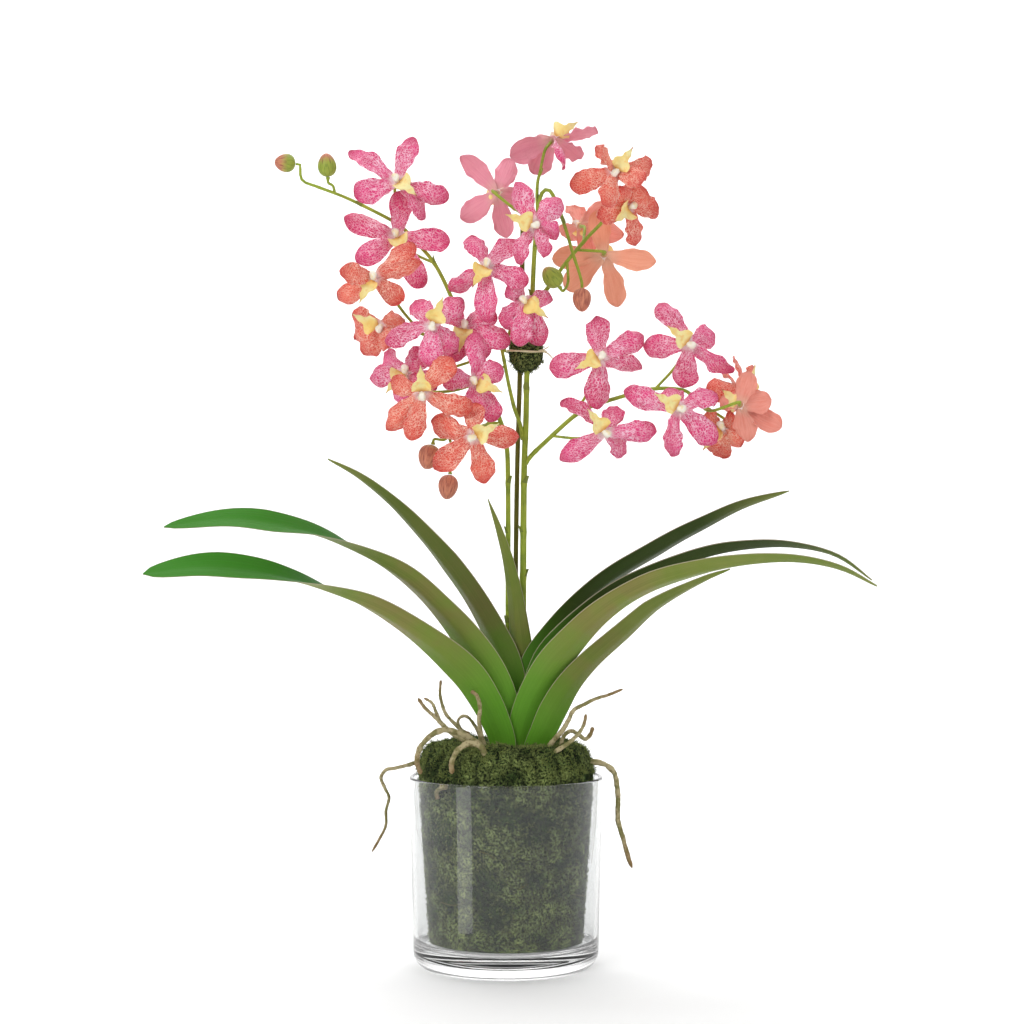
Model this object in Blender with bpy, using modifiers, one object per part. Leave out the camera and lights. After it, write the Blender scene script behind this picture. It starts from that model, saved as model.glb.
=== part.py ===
"""A vanda orchid in its glass vase: moss, strap leaves, two flower stems with blooms, and aerial roots.

The vase stands on z = 0 with its axis on the z axis, and the plant's front faces -Y. Lengths are in metres.
"""

import math
import random

import bmesh
import bpy
from mathutils import Matrix, Vector, noise

# Driving dimensions
MM = 0.001
RIM_RADIUS = 0.0695
BASE_RADIUS = 0.0666
VASE_HEIGHT = 0.137
WALL = 0.003
BASE_THICKNESS = 0.0155
BASE_ROUNDING = 0.012
MOSS_TOP_RADIUS = 0.0645
MOSS_BOTTOM_RADIUS = 0.0565
MOSS_RISE = 0.024
GAP = 0.0003
BLADE = 0.0009
LEAF_THICKNESS = 0.0011
LEAF_WIDTH = 0.028
STAKE_RADIUS = 0.0018
STEM_RIGHT_RADIUS = 0.0026
STEM_LEFT_RADIUS = 0.0020
STEM_HOLD = 2
STALK_RADIUS = 0.0011
SAGGING_STALK = 0.030
TEPAL_LENGTH = 0.038
TEPAL_WIDTH = 0.0185
LIP_WIDTH = 0.0115
LIP_LENGTH = 0.019
COLUMN_LENGTH = 0.007
HUB_BACK = 0.0065
HUB_FRONT = 0.0012
POCKET_FLOOR = 0.134
SOCKET_FLOOR = 0.105

# The photograph's frame: what shows at pixel (across, down) lies on its line of sight, at its depth y
IMAGE_CENTRE = 512
FOCAL_PIXELS = 2435
EYE = Vector((0.0043, -1.75, 0.3265))

# Colours, as linear red, green and blue
GLASS = (0.80, 0.86, 0.85)
MOSS = (0.045, 0.075, 0.028)
LEAF = (0.065, 0.17, 0.035)
STEM = (0.26, 0.36, 0.07)
STAKE = (0.17, 0.12, 0.055)
STRING = (0.62, 0.55, 0.38)
PINK = (0.58, 0.07, 0.22)
SALMON = (0.72, 0.20, 0.16)
ORANGE = (0.66, 0.13, 0.07)
BUD = (0.28, 0.13, 0.06)
ROOT = (0.42, 0.36, 0.23)


def seen(across, down, depth=0.0):
    """The point at a depth in millimetres that shows at a pixel of the photograph."""
    y = depth * MM
    spread = (y - EYE.y) / FOCAL_PIXELS
    return Vector((EYE.x + (across - IMAGE_CENTRE) * spread, y, EYE.z + (IMAGE_CENTRE - down) * spread))


def seen_all(points):
    return [seen(*point) for point in points]


def smooth_step(low, high, value):
    t = min(max((value - low) / (high - low), 0.0), 1.0)
    return t * t * (3 - 2 * t)


def smooth_route(points, steps):
    """A Catmull-Rom curve through the points, with a number of steps between each two."""
    ends = [2 * points[0] - points[1]] + list(points) + [2 * points[-1] - points[-2]]
    route = []
    for a, b, c, d in zip(ends, ends[1:], ends[2:], ends[3:]):
        for step in range(steps):
            t = step / steps
            route.append(0.5 * (2 * b + (c - a) * t + (2 * a - 5 * b + 4 * c - d) * t * t
                                + (3 * b - a - 3 * c + d) * t ** 3))
    route.append(points[-1].copy())
    return route


def evenly(route, count):
    """Points at equal distances along a route, its two ends among them."""
    lengths = [0.0]
    for a, b in zip(route, route[1:]):
        lengths.append(lengths[-1] + (b - a).length)
    spaced = []
    index = 0
    for number in range(count + 1):
        target = lengths[-1] * number / count
        while index < len(route) - 2 and lengths[index + 1] < target:
            index += 1
        share = (target - lengths[index]) / (lengths[index + 1] - lengths[index])
        spaced.append(route[index].lerp(route[index + 1], min(share, 1.0)))
    return spaced


def clear_scene():
    for old in list(bpy.data.objects):
        bpy.data.objects.remove(old, do_unlink=True)


def new_collection(name):
    group = bpy.data.collections.new(name)
    bpy.context.scene.collection.children.link(group)
    return group


clear_scene()
ORCHID = new_collection("vanda_orchid")
CUTTERS = new_collection("cutters")


def material(name, colour, roughness, alpha=1.0):
    look = bpy.data.materials.new(name)
    look.use_nodes = True
    shader = look.node_tree.nodes["Principled BSDF"]
    shader.inputs["Base Color"].default_value = (*colour, 1.0)
    shader.inputs["Roughness"].default_value = roughness
    shader.inputs["Metallic"].default_value = 0.0
    shader.inputs["Alpha"].default_value = alpha
    look.diffuse_color = (*colour, alpha)
    return look


def object_from(name, form, group=ORCHID):
    """Make an object of a bmesh, and free the bmesh."""
    mesh = bpy.data.meshes.new(name)
    form.to_mesh(mesh)
    form.free()
    mesh.shade_smooth()
    thing = bpy.data.objects.new(name, mesh)
    group.objects.link(thing)
    return thing


def evaluated_mesh(thing):
    bpy.context.view_layer.update()
    depsgraph = bpy.context.evaluated_depsgraph_get()
    return bpy.data.meshes.new_from_object(thing.evaluated_get(depsgraph))


def settled(thing):
    """Replace an object's mesh by its evaluated one, and drop its modifiers."""
    mesh = evaluated_mesh(thing)
    thing.modifiers.clear()
    thing.data = mesh
    return thing


def finish(thing, look):
    """Give an object its material and its smooth shading, with sharp edges kept."""
    thing.data.materials.clear()
    thing.data.materials.append(look)
    thing.data.shade_smooth()
    thing.data.set_sharp_from_angle(angle=math.radians(50))
    return thing


def tube(name, route, radii, group=ORCHID, closed=False, resolution=1):
    """A round bar along a route, as a closed mesh, with a radius for each point: 6 sides, or 4 at resolution 0."""
    shape = bpy.data.curves.new(name, "CURVE")
    shape.dimensions = "3D"
    shape.bevel_depth = 1.0
    shape.bevel_resolution = resolution
    shape.use_fill_caps = True
    line = shape.splines.new("POLY")
    line.points.add(len(route) - 1)
    line.use_cyclic_u = closed
    for point, place, radius in zip(line.points, route, radii):
        point.co = (*place, 1.0)
        point.radius = radius
    guide = bpy.data.objects.new(name + "_line", shape)
    group.objects.link(guide)
    mesh = evaluated_mesh(guide)
    bpy.data.objects.remove(guide, do_unlink=True)
    form = bmesh.new()
    form.from_mesh(mesh)
    bpy.data.meshes.remove(mesh)
    bmesh.ops.remove_doubles(form, verts=form.verts[:], dist=1e-6)
    bmesh.ops.recalc_face_normals(form, faces=form.faces[:])
    return object_from(name, form, group)


def tapered_tube(name, route, radius_start, radius_end, group=ORCHID, resolution=0, hold=1):
    """A tube from one radius to another: it tapers evenly, or later along its length if hold is above 1."""
    last = len(route) - 1
    radii = [radius_start + (radius_end - radius_start) * (number / last) ** hold for number in range(last + 1)]
    return tube(name, route, radii, group, False, resolution)


def fused(name, pieces):
    """Join closed pieces that overlap in one solid, by one union on a collection."""
    body = pieces[0]
    body.name = name
    others = new_collection(name + "_pieces")
    for piece in pieces[1:]:
        ORCHID.objects.unlink(piece)
        others.objects.link(piece)
    union = body.modifiers.new("Union", "BOOLEAN")
    union.operation = "UNION"
    union.operand_type = "COLLECTION"
    union.collection = others
    union.solver = "MANIFOLD"
    settled(body)
    for piece in list(others.objects):
        bpy.data.objects.remove(piece, do_unlink=True)
    bpy.data.collections.remove(others)
    return body


def blade(name, across, stations, place, thickness=BLADE):
    """A thin blade: place puts its corners, from a station u along it and a share v, -1 to 1, across it."""
    form = bmesh.new()
    rows = len(stations) - 1
    bmesh.ops.create_grid(form, x_segments=across, y_segments=rows, size=1)
    for corner in form.verts:
        station = stations[round((corner.co.y + 1) / 2 * rows)]
        corner.co = place(station, corner.co.x)
    bmesh.ops.triangulate(form, faces=form.faces[:])
    sheet = object_from(name, form)
    wall = sheet.modifiers.new("Thickness", "SOLIDIFY")
    wall.thickness = thickness
    wall.offset = 0
    return settled(sheet)


def hub_and_column(name, centre, face, lean):
    """The bloom's heart: a cone from the stalk to the tepals, and the column on it, which leans from the lip."""
    form = bmesh.new()
    sides = 5
    bmesh.ops.create_cone(form, cap_ends=True, segments=sides, radius1=0.0013, radius2=0.0027, depth=HUB_BACK)
    bmesh.ops.translate(form, vec=(0, 0, -HUB_BACK / 2 + HUB_FRONT), verts=form.verts[:])
    front = max(form.faces, key=lambda side: side.calc_center_median().z)
    grown = bmesh.ops.extrude_face_region(form, geom=[front])
    bmesh.ops.delete(form, geom=[front], context="FACES_ONLY")
    tip = [item for item in grown["geom"] if isinstance(item, bmesh.types.BMVert)]
    aim = face.to_track_quat("Z", "Y").to_matrix()
    shift = aim.inverted() @ (face * COLUMN_LENGTH + lean)
    bmesh.ops.scale(form, vec=(0.66, 0.66, 1), verts=tip)
    bmesh.ops.translate(form, vec=shift, verts=tip)
    bmesh.ops.transform(form, matrix=Matrix.Translation(centre) @ aim.to_4x4(), verts=form.verts[:])
    return object_from(name, form)


def turned(name, profile, steps):
    """Turn a profile about the z axis; it runs down the outer side."""
    form = bmesh.new()
    corners = [form.verts.new((radius, 0, height)) for radius, height in profile]
    for a, b in zip(corners, corners[1:]):
        form.edges.new((a, b))
    thing = object_from(name, form)
    turn = thing.modifiers.new("Screw", "SCREW")
    turn.steps = steps
    turn.render_steps = steps
    turn.use_merge_vertices = True
    turn.merge_threshold = 0.00001
    return settled(thing)


def make_cutter(thing):
    thing.hide_render = True
    thing.display_type = "WIRE"


# Glass vase

def make_vase():
    """The turned glass: a thick base, a thin wall, a rounded rim and a rounded lower edge."""
    inner_foot = BASE_RADIUS - WALL
    profile = [(0.0, BASE_THICKNESS), (inner_foot - 0.008, BASE_THICKNESS)]
    profile += [(inner_foot - 0.002, BASE_THICKNESS + 0.0015), (inner_foot, BASE_THICKNESS + 0.006)]
    profile += [(RIM_RADIUS - WALL, VASE_HEIGHT - 0.001), (RIM_RADIUS - WALL / 2, VASE_HEIGHT)]
    profile += [(RIM_RADIUS, VASE_HEIGHT - 0.001), (BASE_RADIUS, BASE_ROUNDING)]
    turn_steps = 3
    for step in range(1, turn_steps + 1):
        angle = math.pi / 2 * step / turn_steps
        profile.append((BASE_RADIUS - BASE_ROUNDING * (1 - math.cos(angle)),
                        BASE_ROUNDING * (1 - math.sin(angle))))
    profile.append((0.0, 0.0))
    return turned("glass_vase", profile, 26)


# Moss: mounds of its surface as centre x, centre y, reach and rise, all in millimetres
MOUNDS = [(0, -44, 20, 4), (42, -22, 17, 3), (-42, -18, 17, 3), (-30, 34, 18, 4), (30, 38, 20, 4),
          (-56, 4, 12, 3), (56, 12, 12, 2), (26, -48, 11, 2), (-26, -50, 11, 2)]
MOSS_SHOULDER = 14
MOSS_LUMP = 0.0022


def moss_height(x, y):
    """Height of the moss surface: flat-topped mounds that fall steeply to the glass."""
    reach = min(math.hypot(x, y) / MOSS_TOP_RADIUS, 1.0)
    fall = 1 - reach ** MOSS_SHOULDER
    rise = MOSS_RISE + MOSS_LUMP * noise.noise(Vector((x, y, 0.0)) * 60)
    for centre_x, centre_y, spread, mound in MOUNDS:
        distance = math.hypot(x - centre_x * MM, y - centre_y * MM) / (spread * MM)
        rise += mound * MM * math.exp(-distance ** 2)
    return VASE_HEIGHT - 0.002 + rise * fall


def make_moss():
    """The moss: a tapered plug on the vase's floor, with mounds above the rim and a hole for what stands in it."""
    floor = BASE_THICKNESS + GAP
    top_radii = [0.0, 0.017, 0.032, 0.045, 0.055, 0.0615]
    side_heights = [VASE_HEIGHT - 0.002, 0.075]
    profile = [(radius, VASE_HEIGHT + 0.01) for radius in top_radii]
    for height in side_heights:
        share = (height - floor) / (VASE_HEIGHT - floor)
        profile.append((MOSS_BOTTOM_RADIUS + (MOSS_TOP_RADIUS - MOSS_BOTTOM_RADIUS) * share, height))
    profile += [(MOSS_BOTTOM_RADIUS, floor + 0.004), (MOSS_BOTTOM_RADIUS - 0.004, floor), (0.0, floor)]
    moss = turned("moss_fill", profile, 26)
    for corner in moss.data.vertices:
        if corner.co.z > VASE_HEIGHT:
            corner.co.z = moss_height(corner.co.x, corner.co.y)
    holes = moss.modifiers.new("Holes", "BOOLEAN")
    holes.operation = "DIFFERENCE"
    holes.operand_type = "COLLECTION"
    holes.collection = CUTTERS
    return settled(moss)


def make_leaf_pocket():
    """A cutter for the plain pocket that the leaf fan stands in."""
    form = bmesh.new()
    bmesh.ops.create_cube(form, size=1)
    size = Vector((0.055, 0.030, 0.060))
    centre = Vector((0.0140, -0.0045, POCKET_FLOOR + size.z / 2))
    bmesh.ops.scale(form, vec=size, verts=form.verts[:])
    upright = [edge for edge in form.edges if abs(edge.verts[0].co.z - edge.verts[1].co.z) > 0.01]
    bmesh.ops.bevel(form, geom=upright, offset=0.0015, segments=1, profile=0.5, affect="EDGES", material=-1)
    bmesh.ops.translate(form, vec=centre, verts=form.verts[:])
    make_cutter(object_from("leaf_pocket", form, CUTTERS))


def make_socket(name, foot, radius):
    """A cutter for the plain round hole that a stem or the stake stands in."""
    low = Vector((foot.x, foot.y, SOCKET_FLOOR))
    high = Vector((foot.x, foot.y, VASE_HEIGHT + 0.06))
    make_cutter(tube(name, [low, high], [radius + 2 * GAP] * 2, CUTTERS))


# Leaves: the route from the moss to the tip as (across, down, depth), the width factor, and the turn of the
# blade in degrees at its base, middle and tip; then the tip's share of the length and its bluntness, and the
# fold at its keel. At 90 the blade lies flat, above it the underside shows, and below it the upper side.
LEAVES = {
    "leaf_left_low": ([(503, 744, -13), (496, 722, -15), (484, 698, -19), (466, 673, -26), (432, 644, -42),
                       (380, 610, -66), (330, 589, -90), (290, 577, -108), (250, 569, -122), (200, 566, -137),
                       (143, 574, -150)], 0.95, (178, 128, 46), (0.15, 0.92), 24),
    "leaf_left_high": ([(512, 742, -6), (506, 712, -8), (497, 686, -11), (480, 657, -17), (448, 617, -31),
                        (400, 573, -54), (330, 537, -84), (272, 523, -106), (225, 519, -120),
                        (164, 527, -134)], 0.95, (178, 128, 50), (0.20, 0.7), 24),
    "leaf_left_upright": ([(517, 740, 1), (514, 706, 1), (506, 664, 3), (493, 634, 7), (467, 590, 16),
                           (432, 545, 28), (395, 505, 38), (362, 478, 46), (328, 459, 54)],
                          0.92, (178, 142, 128), (0.42, 0.30), 32),
    "leaf_centre": ([(524, 740, 9), (523, 706, 9), (522, 672, 9), (519, 637, 8.5), (515, 600, 7), (508, 562, 5),
                     (499, 530, 4), (488, 499, 3)], 0.74, (180, 160, 150), (0.52, 0.22), 30),
    "leaf_right_upright": ([(526, 740, 4), (527, 706, 4), (533, 668, 4.5), (552, 637, 11), (578, 606, 20),
                            (612, 577, 32), (662, 547, 48), (700, 526, 60), (740, 506, 70), (789, 491, 79)],
                           0.82, (178, 132, 130), (0.34, 0.50), 24),
    "leaf_right_far": ([(528, 742, -2.5), (531, 712, -2.5), (541, 676, -3), (558, 645, -5), (604, 600, -9),
                        (646, 576, -14), (700, 555, -18), (745, 546, -21), (790, 545, -25), (835, 555, -29),
                        (872, 580, -33)], 0.90, (178, 112, 96), (0.24, 0.45), 36),
    "leaf_right_front": ([(519, 744, -9.5), (526, 714, -12), (540, 684, -16), (560, 655, -24), (600, 615, -40),
                          (645, 587, -56), (695, 571, -71), (745, 562, -83), (795, 560, -92), (840, 568, -98),
                          (877, 586, -105)], 0.96, (178, 132, 106), (0.24, 0.4), 22),
    "leaf_right_low": ([(535, 750, -16.5), (543, 732, -18), (554, 709, -19), (570, 684, -19), (594, 658, -18),
                        (622, 634, -16), (655, 606, -13), (694, 584, -11), (730, 569, -8)],
                       0.80, (178, 140, 122), (0.30, 0.3), 20),
}
LEAF_ROWS = 12
LEAF_STATIONS = tuple(row / LEAF_ROWS for row in range(LEAF_ROWS + 1))
BASE_FOLD = 6
TIP_FOLD = 10


def leaf_outline(u, tip_share, bluntness):
    """Half-width along a leaf, as a share of its widest: narrower at the base, and drawn in at the tip."""
    body = (0.66 + 0.34 * smooth_step(0.0, 0.3, u)) * (1 - 0.14 * u)
    if u < 1 - tip_share:
        return body
    t = (u - 1 + tip_share) / tip_share
    drawn_in = math.sqrt(max(1 - t * t, 0.0)) * bluntness + (1 - t) * (1 - bluntness)
    return body * max(drawn_in, 0.12)


def leaf_surface(name):
    """A function that puts a leaf's corners: a keeled strap whose blade turns along its length."""
    points, width, turns, (tip_share, bluntness), middle_fold = LEAVES[name]
    above = seen_all(points)
    foot = Vector((above[0].x, above[0].y, POCKET_FLOOR + GAP))
    route = evenly(smooth_route([foot, foot + Vector((0, 0, 0.008))] + above, 6), 60)
    side_sign = 1 if points[-1][0] > points[0][0] else -1
    sight = Vector((0, 1, 0))

    def place(u, v):
        index = round(u * 60)
        run = (route[min(index + 1, 60)] - route[max(index - 1, 0)]).normalized()
        if index == 0:
            run = Vector((0, 0, 1))
        outward = sight.cross(run).normalized() * side_sign
        toward = (run * run.dot(sight) - sight).normalized()
        base, middle, tip = turns
        turn = math.radians(base + (middle - base) * smooth_step(0.10, 0.50, u)
                            + (tip - middle) * smooth_step(0.45, 0.85, u))
        near_edge = outward * math.cos(turn) + toward * math.sin(turn)
        upper = toward * math.cos(turn) - outward * math.sin(turn)
        half = LEAF_WIDTH / 2 * width * leaf_outline(u, tip_share, bluntness)
        fold = math.radians(BASE_FOLD + (middle_fold - BASE_FOLD) * smooth_step(0.12, 0.4, u)
                            + (TIP_FOLD - middle_fold) * smooth_step(0.6, 1.0, u))
        return (route[index] + near_edge * (half * math.cos(fold) * v)
                + upper * (half * math.sin(fold) * (abs(v) - 0.5)))

    return place


def make_leaf(name, look):
    return finish(blade(name, 2, LEAF_STATIONS, leaf_surface(name), LEAF_THICKNESS), look)


# Blooms: colour, centre (across, down, depth), facing as the yaw to the right and the pitch up in degrees, the
# lip's tip, and five tepals, each with its tip (across, down), how far it leans forward (+) or back (-), and
# where it is turned on its length, by how many degrees
BLOOMS = {
    "bloom_01": ("pink", (397, 182, -6), (8, 12), (414, 200),
                 [(349, 150, -0.6), (414, 138, -0.6), (354, 197, 0.4), (448, 201, -0.6, 50), (428, 218, -0.7, -30)]),
    "bloom_02": ("pink", (397, 237, 10), (0, 8), (404, 254),
                 [(344, 219, -0.6), (401, 191, 0.2), (450, 243, -0.6), (357, 261, 0.4), (422, 288, 0.2)]),
    "bloom_03": ("orange", (374, 279, -26), (-15, 0), (366, 298),
                 [(415, 244, -0.5), (340, 272, 0.5), (422, 262, 0.4, 55), (337, 301, -0.5), (401, 301, -0.4)]),
    "bloom_04": ("orange", (381, 326, 0), (-35, -10), (372, 322),
                 [(352, 316, -0.6), (354, 341, -0.6), (366, 354, -0.6), (390, 348, 0.3), (404, 318, -0.3)]),
    "bloom_05": ("pink", (432, 325, -32), (10, 10), (444, 293),
                 [(384, 341, -0.6), (415, 300, -0.4), (462, 300, -0.6), (458, 352, -0.4), (430, 367, 0.3)]),
    "bloom_06": ("orange", (422, 393, -48), (0, -4), (421, 364),
                 [(385, 430, -0.6), (411, 441, 0.3), (472, 412, -0.3), (453, 358, -0.4, -10), (391, 381, -0.5)]),
    "bloom_07": ("pink", (405, 372, -8), (-15, 0), (395, 386),
                 [(367, 378, -0.5), (383, 352, -0.5), (425, 350, 0.2), (438, 388, -0.2), (404, 410, -0.5)]),
    "bloom_08": ("pink", (475, 382, -22), (15, 0), (510, 397),
                 [(476, 332, -0.4), (443, 377, 0.3), (472, 414, 0.1), (501, 367, 0.3), (497, 420, -0.3)]),
    "bloom_09": ("orange", (474, 436, -44), (5, -5), (507, 418),
                 [(429, 422, -0.6), (434, 470, -0.6), (485, 483, -0.5), (519, 437, -0.4), (474, 402, -0.4)]),
    "bloom_10": ("pink", (497, 193, 26), (172, 5), (488, 200),
                 [(463, 156, 0.6), (459, 218, 0.6), (511, 158, 0.5), (528, 200, 0.3), (507, 238, 0.5)]),
    "bloom_11": ("pink", (553, 139, 2), (150, 40), (567, 128),
                 [(509, 155, -0.4), (599, 136, 0.6), (565, 165, -0.8), (534, 175, 0.5), (582, 158, 0.4)]),
    "bloom_12": ("orange", (615, 172, -12), (12, 8), (632, 148),
                 [(596, 147, 0.5, 35), (570, 187, -0.5), (655, 165, -0.5, 30), (645, 181, 0.4), (606, 205, 0.6)]),
    "bloom_13": ("orange", (628, 207, 10), (25, -10), (616, 214),
                 [(646, 190, 0.3), (659, 209, -0.5), (638, 246, -0.5), (596, 216, 0.5), (622, 186, 0.5)]),
    "bloom_14": ("salmon", (604, 255, 22), (175, -4), (604, 246),
                 [(597, 212, 0.2), (656, 262, 0.5), (619, 307, 0.5), (552, 259, 0.3), (565, 289, 0.5)]),
    "bloom_15": ("orange", (580, 226, 50), (190, 10), (590, 236),
                 [(574, 204, 0.6), (611, 204, 0.6), (624, 236, 0.6), (592, 258, 0.6), (562, 236, 0.6)]),
    "bloom_16": ("pink", (534, 225, -40), (-12, 2), (505, 215),
                 [(516, 182, -0.6), (563, 197, -0.6), (560, 232, 0.3, 45), (515, 264, -0.5, 30), (548, 256, 0.3, 45)]),
    "bloom_17": ("pink", (486, 266, -14), (-5, 4), (477, 284),
                 [(470, 236, -0.5, 35), (517, 240, -0.3), (528, 284, -0.2), (449, 292, -0.5, -42), (486, 322, 1)]),
    "bloom_18": ("pink", (524, 300, -4), (15, -15), (540, 312),
                 [(503, 326, 0.4), (542, 346, -0.5), (520, 345, 0.4), (552, 300, -0.4), (508, 285, 0.2)]),
    "bloom_19": ("pink", (464, 328, -4), (0, 5), (462, 340),
                 [(510, 342, 0.2), (494, 310, 0.2), (446, 305, 0.2), (452, 362, 0.2), (486, 358, 0.2)]),
    "bloom_20": ("pink", (600, 358, -10), (-8, 4), (567, 376),
                 [(597, 317, -0.6), (645, 334, -0.6), (549, 369, -0.6), (596, 409, -0.6), (642, 368, -0.7, 48)]),
    "bloom_21": ("pink", (689, 344, -8), (-6, 4), (661, 322),
                 [(659, 302, -0.6, 30), (642, 348, -0.6), (713, 334, -0.7), (684, 387, -0.5), (733, 374, -0.6, 45)]),
    "bloom_22": ("pink", (605, 432, -24), (-4, 6), (582, 403),
                 [(562, 399, -0.6, 45), (560, 460, -0.6), (656, 430, -0.5, 30), (628, 454, -0.7), (617, 408, -0.7)]),
    "bloom_23": ("pink", (679, 408, -34), (-6, 4), (644, 389),
                 [(623, 392, -0.6), (718, 394, -0.5), (717, 443, -0.6), (672, 457, -0.6, 35), (668, 388, -0.7)]),
    "bloom_24": ("orange", (742, 392, 6), (60, 0), (738, 364),
                 [(735, 356, -0.5), (714, 363, -0.5), (706, 388, 0.1), (730, 408, 0.35), (752, 366, -0.3)]),
    "bloom_25": ("orange", (740, 405, -26), (168, -4), (732, 398),
                 [(771, 400, 0.2), (748, 442, 0.3), (781, 428, 0.3), (720, 396, 0.75), (750, 372, 0.1)]),
    "bloom_26": ("orange", (722, 427, -10), (-30, -8), (712, 440),
                 [(722, 458, -0.4), (709, 452, -0.4), (740, 448, -0.2), (702, 420, -0.2), (738, 422, 0.0)]),
}
TEPAL_STATIONS = (0.0, 0.34, 0.70, 1.0)
LIP_STATIONS = (0.0, 0.28, 0.60, 1.0)
MOST_LEAN = 0.030


def facing(yaw, pitch):
    """The way that a bloom's face looks: straight at the viewer, turned right by the yaw, up by the pitch."""
    turn = math.radians(yaw)
    rise = math.radians(pitch)
    return Vector((math.sin(turn) * math.cos(rise), -math.cos(turn) * math.cos(rise), math.sin(rise)))


def tepal_outline(u):
    """Half-width along a tepal: a narrow claw, widest past the middle, and a blunt round tip."""
    body = 0.04 + 0.14 * smooth_step(0.0, 0.08, u) + 0.82 * smooth_step(0.02, 0.60, u)
    if u < 0.62:
        return body
    t = (u - 0.62) / 0.38
    return body * max(math.sqrt(1 - 0.93 * t * t), 0.2)


def lip_outline(u):
    """Half-width along the lip: its side lobes near the root, a narrow strap, and the flared tip."""
    side_lobes = 0.75 * math.exp(-((u - 0.28) / 0.14) ** 2)
    return 0.10 + side_lobes + 0.18 * smooth_step(0.3, 0.6, u) + 0.50 * smooth_step(0.55, 0.9, u)


def lip_cup(u):
    """How far the lip's edges rise beside its middle: the side lobes stand up, and the tip is flat."""
    return 1.5 * math.exp(-((u - 0.28) / 0.16) ** 2) - 0.2 * smooth_step(0.6, 1.0, u)


def petal(name, start, tip, face, half_width, outline, stations, bow, cup, twist):
    """A petal from its root to its tip: bow bends it along, cup across, and twist turns it about its length."""
    length = (tip - start).length
    run = (tip - start) / length
    normal = (face - run * face.dot(run)).normalized()
    normal.rotate(Matrix.Rotation(twist, 3, run))
    side = run.cross(normal)

    def place(u, v):
        half = half_width * outline(u)
        lift = bow * length * math.sin(math.pi * u) + cup(u) * half * (v * v - 0.3)
        return start + run * (length * u) + side * (half * v) + normal * lift

    return blade(name, 2, stations, place)


def bloom_back(name):
    """Where a bloom's stalk meets it, and the way that the bloom faces."""
    colour, centre_spot, look_at, lip_tip, tepals = BLOOMS[name]
    face = facing(*look_at)
    return seen(*centre_spot) - face * (HUB_BACK - HUB_FRONT + GAP), face


def tepal_tip(centre, depth, tip, face):
    """A tepal's tip: the photograph gives its place, and its true length gives how far it leans."""
    across, down, lean = tip[:3]
    flat = seen(across, down, depth)
    reach = (flat - centre).length
    off_plane = min(math.sqrt(max(TEPAL_LENGTH ** 2 - reach ** 2, 0.0)) + 0.004, MOST_LEAN)
    forward = 1 if face.y < 0 else -1
    return flat + (EYE - centre).normalized() * (off_plane * lean * forward)


def make_bloom(name, looks):
    """A bloom: hub, five tepals, the lip's strap and two side lobes, and the column, in one solid."""
    colour, centre_spot, look_at, lip_tip, tepals = BLOOMS[name]
    chance = random.Random(name)
    face = facing(*look_at)
    centre = seen(*centre_spot)
    lip_way = seen(lip_tip[0], lip_tip[1], centre_spot[2]) - centre
    lip_way = (lip_way - face * lip_way.dot(face)).normalized()
    pieces = [hub_and_column(name, centre, face, lip_way * -0.0016)]
    for number, tip in enumerate(tepals):
        end = tepal_tip(centre, centre_spot[2], tip, face)
        half_width = TEPAL_WIDTH / 2 * chance.uniform(0.94, 1.06)
        bow = chance.uniform(0.03, 0.09)
        depth = chance.uniform(-0.35, -0.15)
        twist = math.radians(tip[3] if len(tip) > 3 else chance.uniform(-20, 20))
        root = centre + (end - centre).normalized() * 0.0006
        pieces.append(petal(f"{name}_tepal_{number}", root, end, face, half_width, tepal_outline,
                            TEPAL_STATIONS, bow, lambda u: depth * smooth_step(0.1, 0.5, u), twist))
    lip_end = centre + lip_way * LIP_LENGTH + face * 0.011
    pieces.append(petal(name + "_lip", centre + face * 0.0010, lip_end, face, LIP_WIDTH / 2, lip_outline,
                        LIP_STATIONS, 0.10, lip_cup, 0))
    return finish(fused(name, pieces), looks[colour])


# Flower stems and their branches, as (across, down, depth); the first point of a stem is where it leaves the moss
STEM_RIGHT = [(523, 742, 18), (523, 610, 18), (524, 479, 17), (526, 420, 16), (527, 371, 14),
              (530, 335, 12), (532, 304, 10), (534, 260, 8), (537, 220, 6), (541, 195, 4), (549, 190, 2),
              (557, 204, 0), (566, 230, -2), (573, 254, -3), (579, 272, -4), (582, 283, -4)]
BRANCH_LEFT = [(523, 440, 16), (520, 424, 15), (514, 407, 13), (508, 381, 10), (504, 360, 8), (499, 341, 7),
               (490, 336, 7)]
BRANCH_HIGH = [(532, 306, 10), (538, 297, 11), (547, 289, 12), (565, 264, 14), (587, 238, 16), (603, 221, 14),
               (612, 205, 12), (617, 196, 10)]
BRANCH_TOP = [(538, 212, 6), (537, 196, 8), (538, 180, 9), (542, 168, 9)]
BRANCH_LOW = [(525, 464, 17), (531, 456, 15), (541, 446, 13), (573, 417, 8), (592, 406, 6), (617, 398, 5),
              (652, 389, 4), (683, 390, 4), (696, 400, 4), (710, 410, 3)]
STEM_LEFT = [(508, 742, 19), (508, 610, 17), (508, 479, 15), (506, 442, 13), (500, 420, 12),
             (490, 396, 11), (480, 370, 10), (470, 345, 9), (460, 320, 10), (452, 299, 12), (442, 277, 14),
             (432, 260, 14), (419, 245, 14), (405, 230, 13), (391, 220, 10), (349, 199, 2), (318, 187, -2),
             (302, 180, -4), (294, 173, -4)]
TWIG_LOW = [(501, 424, 12), (490, 424, 10), (470, 430, 8), (455, 434, 2), (447, 438, -6)]
TWIG_MIDDLE = [(464, 330, 10), (450, 334, 14), (430, 336, 14), (412, 330, 12)]

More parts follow.
